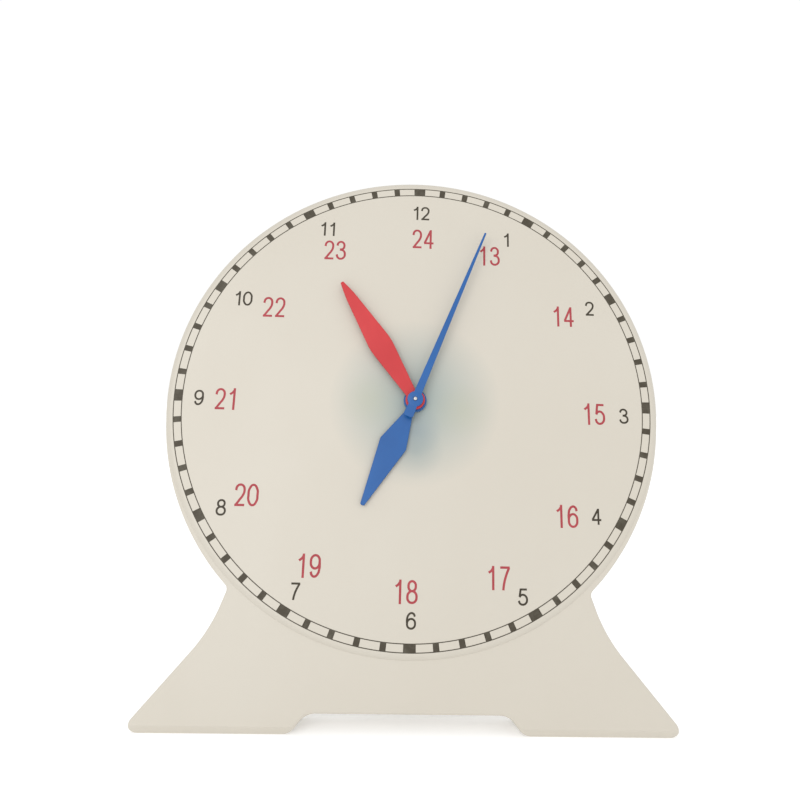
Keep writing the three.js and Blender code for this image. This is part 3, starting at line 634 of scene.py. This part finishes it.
def makeCaseInside(size):
    bm = bmesh.new()
    front = levels["dialBack"] + size["intoDial"]
    back = levels["coverFront"] + size["ringGap"]
    ring = windowRadius + size["gearRingWall"]
    tube(bm, ring, windowRadius, back, front, windowPlace, turnSteps["window"])
    tube(bm, size["thirdBossRadius"], size["thirdBore"], levels["hourWheelBack"], front, thirdPlace)
    motionBack = levels["dialBack"] - size["motionBossHeight"]
    tube(bm, size["motionBossRadius"], size["motionBore"], motionBack, front, motionPlace)
    boss, bore = size["screwBossRadius"], size["screwBore"]
    bossFront = levels["standFace"] - size["intoFace"]
    for place in screwPlaces:
        tube(bm, boss, bore, back, bossFront, place, turnSteps["screw"])
    finishPiece(bm, "caseInside", "case", casePlastic)


makeCaseShell(caseSize)
makeDial(caseSize)
makeCaseInside(innerSize)
print("case made")


# Back cover: a plate inside the rim, with a round window, screw recesses and hinge ears

coverSize = {
    "rimGap": 2.45,
    "edgeRound": 0.35,
    "recessRadius": 3.25,
    "recessDepth": 1.35,
    "bossRadius": 2.6,
    "bossBore": 1.45,
    "bossSunk": 0.5,
    "bossFront": -11.45,
    "earHalf": 23.75,
    "earThickness": 3.0,
    "earRadius": 4.1,
    "earFoot": 6.7,
    "earFootDepth": 0.4,
    "earFootThickness": 0.6,
    "earSharpAngle": 0.8,
    "pinBore": 1.6,
}


def makeBackCover(size):
    back, front = levels["caseBack"], levels["coverFront"]
    bm = caseBody(size["rimGap"], back, front)
    cutAtTable(bm, size["rimGap"])
    tools = bmesh.new()
    tube(tools, windowRadius, 0, back - past, front + past, windowPlace, turnSteps["window"])
    for place in screwPlaces:
        tube(tools, size["recessRadius"], 0, back - past, back + size["recessDepth"], place)
    bm = combine(bm, tools)
    roundEdges(bm, edgesAtHeight(bm, back), size["edgeRound"], steps=2)
    finishPiece(bm, "backPlate", "case", backPlastic, ["back_cover"], crease=40)
    bosses = bmesh.new()
    radius, bore, bossBack = size["bossRadius"], size["bossBore"], back + size["bossSunk"]
    for place in coverScrewPlaces:
        tube(bosses, radius, bore, bossBack, size["bossFront"], place, turnSteps["screw"])
    finishPiece(bosses, "coverBosses", "case", backPlastic)


# A round bar along the hinge
def hingeBar(bm, radius, length):
    bmesh.ops.create_cone(
        bm, cap_ends=True, segments=turnSteps["arbor"], radius1=radius, radius2=radius,
        depth=length, matrix=hingePlace,
    )


# A hinge ear is the hull of its round eye and its foot on the plate
def makeHingeEars(size):
    thickness = size["earThickness"]
    for side, name in ((-1, "hingeEarLeft"), (1, "hingeEarRight")):
        bm = bmesh.new()
        hingeBar(bm, size["earRadius"], thickness)
        foot = Matrix.Translation((0, pivotPlace.y, levels["caseBack"] + size["earFootDepth"]))
        stretch = Matrix.Diagonal((thickness, 2 * size["earFoot"], size["earFootThickness"], 1))
        bmesh.ops.create_cube(bm, size=1, matrix=foot @ stretch)
        hull = bmesh.ops.convex_hull(bm, input=bm.verts[:])
        loose = [g for g in hull["geom_interior"] + hull["geom_unused"] if g.is_valid]
        loose = [g for g in loose if isinstance(g, bmesh.types.BMVert)]
        bmesh.ops.delete(bm, geom=loose, context="VERTS")
        bmesh.ops.dissolve_limit(
            bm, angle_limit=math.radians(1), verts=bm.verts[:], edges=bm.edges[:]
        )
        tools = bmesh.new()
        hingeBar(tools, size["pinBore"], 3 * thickness)
        bm = combine(bm, tools)
        half = thickness / 2
        sides = [e for e in bm.edges if all(abs(abs(v.co.x) - half) < tiny for v in e.verts)]
        sharp = [e for e in sides if e.calc_face_angle(0) > size["earSharpAngle"]]
        roundEdges(bm, sharp, size["edgeRound"], steps=2)
        place = Matrix.Translation((side * size["earHalf"], 0, 0))
        finishPiece(bm, name, "case", backPlastic, place=place)


makeBackCover(coverSize)
makeHingeEars(coverSize)
print("back cover made")


# Clear gear cover: a rounded disc, a spigot in the window and bearings for the arbors

gearCoverSize = {
    "radius": 40.15,
    "edgeRound": 0.6,
    "spigotGap": 0.2,
    "spigotWall": 1.6,
    "spigotDepth": 1.6,
    "bearingRadius": 2.9,
    "bearingHeight": 2.0,
    "bearingFront": -16.2,
    "bore": 1.2,
}


def makeGearCover(size):
    back, front = levels["gearCoverBack"], levels["gearCoverFront"]
    radius, edge = size["radius"], size["edgeRound"]
    bm = bmesh.new()
    profile = [(0, front), (radius, front)]
    profile += cornerArc((radius - edge, back + edge), edge, 0, -90, steps=5)
    profile.append((0, back))
    turnProfile(bm, profile, turnSteps["gearCover"], place=windowPlace)
    outer = windowRadius - size["spigotGap"]
    inner, spigotFront = outer - size["spigotWall"], front + size["spigotDepth"]
    tube(bm, outer, inner, front + seam, spigotFront, windowPlace, turnSteps["window"])
    bearing, bore = size["bearingRadius"], size["bore"]
    tube(bm, bearing, bore, back - size["bearingHeight"], back - seam)
    for place in (Matrix(), thirdPlace):
        tube(bm, bearing, bore, front + seam, size["bearingFront"], place)
    finishPiece(bm, "gearCoverClear", "case", clearPlastic, ["gear_cover"])


makeGearCover(gearCoverSize)
print("gear cover made")


# Screws with domed heads and a cross recess

screwSize = {
    "headRadius": 3.0,
    "headHeight": 1.1,
    "dome": [(0, 1), (0.45, 0.97), (0.72, 0.84), (0.9, 0.6), (1, 0.3)],  # shares of the head
    "shankRadius": 1.25,
    "threadStart": 0.6,
    "threadDepth": 0.22,
    "threadPitch": 1.1,
    "plainTip": 2,
    "recessLength": 3.2,
    "recessWidth": 0.75,
    "recessDepth": 0.75,
    "caseLength": 9,
    "coverLength": 7,
    "coverLift": 0.25,
    "turnEach": 37,
    "turnByLength": 11,
}


def screwShape(size, length):
    head, radius = size["headHeight"], size["headRadius"]
    shank, core = size["shankRadius"], size["shankRadius"] - size["threadDepth"]
    bm = bmesh.new()
    profile = [(radius * across, -head * up) for across, up in size["dome"]]
    profile += [(radius, 0), (shank, 0)]
    z = size["threadStart"]
    while z < length - size["plainTip"]:
        profile += [(core, z), (shank, z + size["threadPitch"] / 2)]
        z += size["threadPitch"]
    profile += [(core, z), (0, length)]
    turnProfile(bm, profile, turnSteps["screw"])
    stretch = Matrix.Diagonal(
        (size["recessLength"], size["recessWidth"], 2 * size["recessDepth"], 1)
    )
    for turn in (0, 90):
        bar = Matrix.Rotation(math.radians(turn), 4, "Z") @ Matrix.Translation((0, 0, -head))
        tool = bmesh.new()
        bmesh.ops.create_cube(tool, size=1, matrix=bar @ stretch)
        bm = combine(bm, tool)
    mesh = bpy.data.meshes.new("screw")
    bm.to_mesh(mesh)
    bm.free()
    return mesh


def makeScrews(size):
    caseZ = levels["caseBack"] + size["headHeight"]
    coverZ = levels["gearCoverBack"] - size["coverLift"]
    sets = (
        ("caseScrew", "case_screw_", screwPlaces, size["caseLength"], caseZ),
        ("coverScrew", "cover_screw_", coverScrewPlaces, size["coverLength"], coverZ),
    )
    for name, node, places, length, z in sets:
        shape = screwShape(size, length)
        for i, place in enumerate(places, 1):
            bm = bmesh.new()
            bm.from_mesh(shape)
            degrees = size["turnEach"] * i + size["turnByLength"] * length
            turn = Matrix.Rotation(math.radians(degrees), 4, "Z")
            finishPiece(
                bm, f"{name}{i}", "case", steel, [f"{node}{i}"],
                place=place @ Matrix.Translation((0, 0, z)) @ turn,
            )


makeScrews(screwSize)
print("screws made")


# Gears and prop leg keep the CAD model's mesh; every sharp edge gets a small moulded round

softSize = {
    "flatDegrees": 0.4,
    "sharpDegrees": 38,
    "wheelRound": 0.1,
    "pinionRound": 0.08,
    "propRound": 0.45,
}


def softenNode(node, body, material, edgeRound, steps=2):
    bm = bmesh.new()
    bm.from_mesh(frame["nodes"][node].data)
    bmesh.ops.remove_doubles(bm, verts=bm.verts, dist=tiny / 1000)
    bmesh.ops.dissolve_limit(
        bm, angle_limit=math.radians(softSize["flatDegrees"]), verts=bm.verts[:], edges=bm.edges[:]
    )
    sharp = math.radians(softSize["sharpDegrees"])
    edges = [e for e in bm.edges if e.calc_face_angle(0) > sharp]
    roundEdges(bm, edges, edgeRound / 1000, steps)
    mesh = bpy.data.meshes.new(node)
    bm.to_mesh(mesh)
    bm.free()
    dressPiece(mesh, node + "_soft", body, material, [node])


softenNode("hour_wheel", "hour", greenPlastic, softSize["wheelRound"])
softenNode("motion_gear", "motion", tealPlastic, softSize["wheelRound"])
softenNode("cannon_pinion", "minute", tealPlastic, softSize["pinionRound"])
softenNode("centre_wheel", "minute", greenPlastic, softSize["wheelRound"])
softenNode("third_wheel", "third", greenPlastic, softSize["wheelRound"])
softenNode("third_pinion", "third", tealPlastic, softSize["pinionRound"])
softenNode("second_pinion", "second", tealPlastic, softSize["pinionRound"])
softenNode("prop_leg", "prop", backPlastic, softSize["propRound"], steps=3)
print("gears and prop leg made")


# Arbors, pins, bush and clip, all turned

# A bar is radius, back end, front end, round at the back, round at the front
turnedSize = {
    "secondArbor": (1, -22.9, 6.6, 0.2, 0.7),
    "thirdArbor": (1, -29.35, -2.7, 0.2, 0.2),
    "motionPin": (1, -9.75, -1.3, 0.2, 0.2),
    "hingePin": (1.5, -25.25, 25.25, 0.3, 0.3),
    "clip": {"bore": 1.1, "radius": 2.4, "edge": 0.1, "back": -9.75, "front": -9.15},
    "bush": {
        "bore": 3.6,
        "flangeRadius": 7.4,
        "flangeBack": -3.15,
        "flangeFront": -2.45,
        "radius": 4.8,
        "front": 0.4,
        "edge": 0.15,
    },
}


def makeBar(name, body, node, place=None):
    radius, back, front, backRound, frontRound = turnedSize[name]
    profile = [(0, back)]
    profile += cornerArc((radius - backRound, back + backRound), backRound, -90, 0, steps=3)
    profile += cornerArc((radius - frontRound, front - frontRound), frontRound, 0, 90, steps=5)
    bm = bmesh.new()
    turnProfile(bm, profile + [(0, front)], turnSteps["arbor"])
    finishPiece(bm, name, body, steel, [node], place)


def makeClip(size):
    bore, radius, edge = size["bore"], size["radius"], size["edge"]
    back, front = size["back"], size["front"]
    profile = [(bore, back), (radius - edge, back), (radius, back + edge)]
    profile += [(radius, front - edge), (radius - edge, front), (bore, front)]
    bm = bmesh.new()
    turnProfile(bm, profile, turnSteps["arbor"], closed=True)
    finishPiece(bm, "motionClip", "case", steel, ["motion_clip"], motionPlace)


def makeBush(size):
    bore, flange, radius = size["bore"], size["flangeRadius"], size["radius"]
    front, edge = size["front"], size["edge"]
    profile = [(bore, size["flangeBack"]), (flange, size["flangeBack"])]
    profile += [(flange, size["flangeFront"]), (radius, size["flangeFront"])]
    profile += [(radius, front - edge), (radius - edge, front), (bore, front)]
    bm = bmesh.new()
    turnProfile(bm, profile, turnSteps["bush"], closed=True)
    finishPiece(bm, "centreBush", "case", casePlastic, ["centre_bush"])


makeBar("secondArbor", "second", "second_arbor")
makeBar("thirdArbor", "third", "third_arbor", thirdPlace)
makeBar("motionPin", "case", "motion_pin", motionPlace)
makeClip(turnedSize["clip"])
makeBush(turnedSize["bush"])
makeBar("hingePin", "case", "hinge_pin", hingePlace)
print("arbors and pins made")


# Setting knob with a fluted grip

knobSize = {
    "radius": 11.0,
    "flutes": 14,
    "fluteSteps": 12,
    "fluteDepth": 0.7,
    "fluteStart": 8.6,
    "back": -31.75,
    "collarBack": -22.75,
    "edgeRound": 1.0,
    "dishRadius": 8.2,
    "dishDepth": 0.7,
    "dishRound": 0.5,
    "collarRadius": 5.0,
    "collarFront": -21.15,
    "collarEdge": 0.3,
    "bore": 1.1,
    "boreBack": -28.0,
}


def makeKnob(size):
    radius, edge, back = size["radius"], size["edgeRound"], size["back"]
    dish, dishRound = size["dishRadius"], size["dishRound"]
    floor = back + size["dishDepth"]
    collar, front, collarEdge = size["collarRadius"], size["collarFront"], size["collarEdge"]
    profile = [(0, floor), (dish - dishRound, floor)]
    profile += cornerArc((dish + dishRound, back + dishRound), dishRound, 180, 270, steps=4)
    profile += cornerArc((radius - edge, back + edge), edge, -90, 0, steps=5)
    profile += cornerArc((radius - edge, size["collarBack"] - edge), edge, 0, 90, steps=5)
    profile += [(collar, size["collarBack"]), (collar, front - collarEdge)]
    profile += [(collar - collarEdge, front), (size["bore"], front)]
    profile += [(size["bore"], size["boreBack"]), (0, size["boreBack"])]
    bm = bmesh.new()
    for vert in turnProfile(bm, profile, size["flutes"] * size["fluteSteps"]):
        reach = vert.co.xy.length
        share = min(1, max(0, (reach - size["fluteStart"]) / (radius - size["fluteStart"])))
        wave = math.cos(size["flutes"] * math.atan2(vert.co.y, vert.co.x) / 2) ** 2
        if share:
            vert.co.xy *= 1 - size["fluteDepth"] * wave * share * share * (3 - 2 * share) / reach
    finishPiece(
        bm, "settingKnob", "third", bluePlastic, ["setting_knob"], thirdPlace,
        crease=36,
    )


makeKnob(knobSize)
print("knob made")


# Hands, drawn pointing up and turned clockwise from 12

# The boss is radius, bore, height, edge round; a corner is x, y, rounding radius, steps
handSize = {
    "hour": {
        "degrees": 205,
        "back": 0.9,
        "blade": 1.1,
        "boss": (5.7, 3.5, 1.4, 0.35),
        "corners": [
            (2.4, 0, 0, 0), (2.4, 8, 3.0, 4), (7.0, 24.2, 3.2, 5), (1.0, 57.3, 0.8, 4),
        ],
        "edgeRound": 0.28,
    },
    "minute": {
        "degrees": 327.5,
        "back": 2.8,
        "blade": 1.1,
        "boss": (4.8, 2.3, 1.4, 0.35),
        "corners": [
            (2.2, 0, 0, 0), (6.1, 33.5, 33.5, 12), (2.5, 64.5, 64.5, 8), (0.8, 72.6, 0.5, 4),
        ],
        "edgeRound": 0.28,
    },
    "second": {
        "degrees": 21,
        "back": 4.7,
        "blade": 1.02,
        "boss": (3.9, 1.1, 1.1, 0.35),
        "corners": [(2.5, -9.5, 1.25, 4), (2.0, 0, 0, 0), (0.5, 97.4, 0.3, 3)],
        "edgeRound": 0.22,
    },
}


# The blade and the round boss are joined, and one bore goes through both
def makeHand(name, body, material, node, size):
    bm = bmesh.new()
    left = [(-x, y, radius, steps) for x, y, radius, steps in reversed(size["corners"])]
    cornerFace(bm, size["corners"] + left, seam)
    pullOut(bm, bm.faces[:], size["blade"] - seam)
    bmesh.ops.recalc_face_normals(bm, faces=bm.faces)
    roundEdges(bm, edgesAtHeight(bm, size["blade"]), size["edgeRound"], steps=3)
    radius, bore, height, edge = size["boss"]
    boss = bmesh.new()
    profile = [(0, 0), (radius, 0)]
    profile += cornerArc((radius - edge, height - edge), edge, 0, 90, steps=4)
    turnProfile(boss, profile + [(0, height)], turnSteps["handBoss"])
    bm = combine(bm, boss, "UNION")
    hole = bmesh.new()
    tube(hole, bore, 0, -past, height + past, steps=turnSteps["handBore"])
    bm = combine(bm, hole)
    turn = Matrix.Rotation(math.radians(-size["degrees"]), 4, "Z")
    place = Matrix.Translation((0, 0, size["back"])) @ turn
    finishPiece(bm, name, body, material, [node], place, crease=36)


makeHand("hourHand", "hour", bluePlastic, "hour_hand", handSize["hour"])
makeHand("minuteHand", "minute", redPlastic, "minute_hand", handSize["minute"])
makeHand("secondHand", "second", bluePlastic, "second_hand", handSize["second"])
print("hands made")


# Minute ring: two thin lines and sixty blocks, printed as a film on the dial

printSize = {
    "sunk": 0.02,
    "film": 0.05,
    "ringInner": 114.25,
    "ringOuter": 118.6,
    "ringSteps": 300,
    "lineWidth": 0.45,
    "hourBlock": 5.8,
    "minuteBlock": 2.9,
    "blockSteps": 3,
}


# A flat arc between two radii, spun from a start about the middle of the dial
def flatArc(bm, inner, outer, start, span, steps):
    verts = [bm.verts.new(start @ Vector((r, 0, -printSize["sunk"]))) for r in (inner, outer)]
    bmesh.ops.spin(
        bm, geom=verts + [bm.edges.new(verts)], cent=(0, 0, 0), axis=(0, 0, 1), angle=span,
        steps=steps, use_merge=span == math.tau,
    )


def makeMinuteRing(size):
    bm = bmesh.new()
    line = size["lineWidth"]
    for radius in (size["ringInner"], size["ringOuter"] - line):
        flatArc(bm, radius, radius + line, Matrix(), math.tau, size["ringSteps"])
    inner, outer = size["ringInner"] + line, size["ringOuter"] - line
    middle = (size["ringInner"] + size["ringOuter"]) / 2
    for minute in range(60):
        span = (size["minuteBlock"] if minute % 5 else size["hourBlock"]) / middle
        start = Matrix.Rotation(math.radians(6 * minute) - span / 2, 4, "Z")
        flatArc(bm, inner, outer, start, span, size["blockSteps"])
    pullOut(bm, bm.faces[:], size["film"])
    finishPiece(bm, "minuteRing", "case", darkInk)


makeMinuteRing(printSize)


# Plain numerals, each drawn with strokes of one width. Points are shares of the numeral's box.

strokes = {
    "0": [
        [(0.5, 1), (0.07, 0.8), (0, 0.5), (0.07, 0.2), (0.5, 0), (0.93, 0.2), (1, 0.5),
         (0.93, 0.8)], "loop",
    ],
    "1": [
        [(0.64, -0.07), (0.64, 1.07)], "line",
        [(0.66, 1), (0.45, 0.85), (0.14, 0.745)], "curve",
    ],
    "2": [
        [(0.03, 0.72), (0.15, 0.92), (0.5, 1), (0.85, 0.92), (0.97, 0.72), (0.85, 0.5),
         (0.45, 0.23), (0.1, 0)], "curve",
        [(-0.03, 0), (1.06, 0)], "line",
    ],
    "3": [
        [(0.04, 0.77), (0.18, 0.94), (0.47, 1), (0.79, 0.93), (0.9, 0.76), (0.77, 0.6),
         (0.38, 0.54)], "curve",
        [(0.38, 0.54), (0.83, 0.47), (1, 0.27), (0.85, 0.07), (0.47, 0), (0.15, 0.07),
         (0, 0.25)], "curve",
    ],
    "4": [
        [(0.74, -0.07), (0.74, 1.05)], "line",
        [(-0.07, 0.26), (1.1, 0.26)], "line",
        [(0.72, 1), (0, 0.27)], "line",
    ],
    "5": [
        [(0.2, 1), (1, 1)], "line",
        [(0.25, 1.05), (0.1, 0.5)], "line",
        [(0.08, 0.49), (0.27, 0.62), (0.53, 0.65), (0.86, 0.55), (1, 0.33), (0.85, 0.09), (0.47, 0),
         (0.15, 0.07), (0, 0.25)], "curve",
    ],
    "6": [
        [(0.52, 0.62), (0.17, 0.53), (0.04, 0.31), (0.17, 0.08), (0.52, 0), (0.86, 0.08), (1, 0.31),
         (0.86, 0.54)], "loop",
        [(0.96, 0.77), (0.82, 0.94), (0.54, 1), (0.2, 0.88), (0.03, 0.6), (0.03, 0.35)], "curve",
    ],
    "7": [
        [(-0.02, 1), (1.03, 1)], "line",
        [(0.97, 1), (0.65, 0.65), (0.4, 0.25), (0.3, -0.07)], "curve",
    ],
    "8": [
        [(0.5, 1), (0.2, 0.93), (0.1, 0.77), (0.2, 0.61), (0.5, 0.54), (0.8, 0.61), (0.9, 0.77),
         (0.8, 0.93)], "loop",
        [(0.5, 0.54), (0.14, 0.46), (0, 0.27), (0.14, 0.07), (0.5, 0), (0.86, 0.07), (1, 0.27),
         (0.86, 0.46)], "loop",
    ],
}
# A nine is a six turned round
strokes["9"] = [
    [(1 - x, 1 - y) for x, y in part] if isinstance(part, list) else part for part in strokes["6"]
]

# Each stroke of a numeral lies one step above the stroke before, so that none shares its plane
hourNumerals = {
    "height": 7.8,
    "width": 4.8,
    "gap": -0.1,
    "stroke": 0.94,
    "step": 0.01,
    "places": {
        "12": (0.8, 104.0), "1": (46.95, 90.2), "2": (89.85, 52.6), "3": (104.9, -4.6),
        "4": (88.9, -54.85), "5": (52.5, -92.9), "6": (0.4, -104.3), "7": (-53.35, -92.05),
        "8": (-90.75, -54.35), "9": (-106.3, -1.0), "10": (-89.2, 51.95), "11": (-47.85, 92.8),
    },
}
dayNumerals = {
    "height": 10.8,
    "width": 5.35,
    "gap": 0.8,
    "stroke": 1.1,
    "step": 0.01,
    "places": {
        "24": (2.2, 89.0), "13": (37.3, 80.5), "14": (75.7, 47.7), "15": (89.7, -4.0),
        "16": (74.3, -55.1), "17": (41.1, -84.5), "18": (-2.45, -91.5), "19": (-47.9, -80.5),
        "20": (-79.3, -48.2), "21": (-92.9, -1.3), "22": (-73.2, 47.8), "23": (-43.8, 80.8),
    },
}


def addStroke(curve, points, kind, left, low, lift, size):
    spline = curve.splines.new("BEZIER")
    spline.bezier_points.add(len(points) - 1)
    spline.use_cyclic_u = kind == "loop"
    spline.resolution_u = 5
    stroke = size["stroke"]
    for knot, (x, y) in zip(spline.bezier_points, points):
        across = left + stroke / 2 + x * (size["width"] - stroke)
        up = low + stroke / 2 + y * (size["height"] - stroke)
        knot.co = (across, up, lift)
        knot.handle_left_type = knot.handle_right_type = "VECTOR" if kind == "line" else "AUTO"


def makeNumerals(name, material, size):
    section = bpy.data.curves.new("stroke section", "CURVE")
    section.dimensions = "2D"
    outline = section.splines.new("POLY")
    half, back = size["stroke"] / 2, -printSize["sunk"]
    front = back + printSize["film"]
    corners = [(-half, back), (half, back), (half, front), (-half, front)]
    outline.points.add(len(corners) - 1)
    outline.use_cyclic_u = True
    for point, (x, y) in zip(outline.points, corners):
        point.co = (x, y, 0, 1)
    sectionObject = bpy.data.objects.new("strokeSection", section)
    curve = bpy.data.curves.new(name, "CURVE")
    curve.dimensions = "3D"
    curve.twist_mode = "Z_UP"
    curve.bevel_mode = "OBJECT"
    curve.bevel_object = sectionObject
    curve.use_fill_caps = True
    for word, (x, y) in size["places"].items():
        span = len(word) * size["width"] + (len(word) - 1) * size["gap"]
        low = y - size["height"] / 2
        for i, digit in enumerate(word):
            left = x - span / 2 + i * (size["width"] + size["gap"])
            parts = strokes[digit]
            for layer, (points, kind) in enumerate(zip(parts[::2], parts[1::2])):
                addStroke(curve, points, kind, left, low, layer * size["step"], size)
    drawn = bpy.data.objects.new(name, curve)
    bpy.context.scene.collection.objects.link(drawn)
    bpy.context.scene.collection.objects.link(sectionObject)
    depsgraph = bpy.context.evaluated_depsgraph_get()
    mesh = bpy.data.meshes.new_from_object(drawn.evaluated_get(depsgraph))
    bpy.data.objects.remove(drawn)
    bpy.data.objects.remove(sectionObject)
    bm = bmesh.new()
    bm.from_mesh(mesh)
    finishPiece(bm, name, "case", material)


makeNumerals("hourNumerals", numeralInk, hourNumerals)
makeNumerals("dayNumerals", redInk, dayNumerals)
print("print made")


# Floor, light and camera

studio = {
    "floorSize": 12.0,
    "floorColour": (0.83, 0.83, 0.83),
    "floorShade": (0.81, 0.81, 0.81),
    "floorCloudScale": 3,
    "floorRoughness": 0.9,
    "floorSpecular": 0.1,
    "floorGlow": 0.3,
    "sky": 1.02,
    "keyPower": 5.0,
    "keyPlace": (-0.6, -1.2, 0.7),
    "fillPower": 0.6,
    "fillPlace": (0.9, -0.6, 0.5),
    "lampSize": 0.9,
}


def makeFloor(look):
    material, nodes, links, shader = newMaterial(
        "pale floor", look["floorRoughness"], look["floorSpecular"]
    )
    place = objectPlace(nodes, links)
    cloud = rangeOf(nodes, links, noiseOf(nodes, links, place, look["floorCloudScale"]), 0, 1)
    colour = mixOf(nodes, links, cloud, look["floorColour"], look["floorShade"])
    links.new(colour, shader.inputs["Base Color"])
    shader.inputs["Emission Color"].default_value = (1, 1, 1, 1)
    shader.inputs["Emission Strength"].default_value = look["floorGlow"]
    bm = bmesh.new()
    bmesh.ops.create_grid(bm, x_segments=1, y_segments=1, size=look["floorSize"] / 2)
    mesh = bpy.data.meshes.new("floor")
    bm.to_mesh(mesh)
    bm.free()
    mesh.materials.append(material)
    floor = bpy.data.objects.new("floor", mesh)
    bpy.context.scene.collection.objects.link(floor)


def makeLight(name, place, power, size):
    lamp = bpy.data.lights.new(name, "AREA")
    lamp.energy = power
    lamp.size = size
    light = bpy.data.objects.new(name, lamp)
    light.location = place
    light.rotation_euler = (dialCentre - Vector(place)).to_track_quat("-Z", "Y").to_euler()
    bpy.context.scene.collection.objects.link(light)


world = bpy.data.worlds.new("soft white room")
world.use_nodes = True
world.node_tree.nodes["Background"].inputs["Color"].default_value = (1, 1, 1, 1)
world.node_tree.nodes["Background"].inputs["Strength"].default_value = studio["sky"]
bpy.context.scene.world = world
makeFloor(studio)
makeLight("keyLight", studio["keyPlace"], studio["keyPower"], studio["lampSize"])
makeLight("fillLight", studio["fillPlace"], studio["fillPower"], studio["lampSize"])

cameraSize = {
    "place": (-0.00647, -0.34379, 0.15299),
    "turn": (89.144, -1.622, -2.093),
    "sensor": 36,
    "lens": 30.5685,
    "shift": (-0.0339, 0.0053),
    "near": 0.01,
}
cameraData = bpy.data.cameras.new("camera")
cameraData.sensor_width = cameraSize["sensor"]
cameraData.lens = cameraSize["lens"]
cameraData.shift_x, cameraData.shift_y = cameraSize["shift"]
cameraData.clip_start = cameraSize["near"]
camera = bpy.data.objects.new("camera", cameraData)
camera.location = cameraSize["place"]
camera.rotation_euler = [math.radians(a) for a in cameraSize["turn"]]
bpy.context.scene.collection.objects.link(camera)
bpy.context.scene.camera = camera
print("studio made")
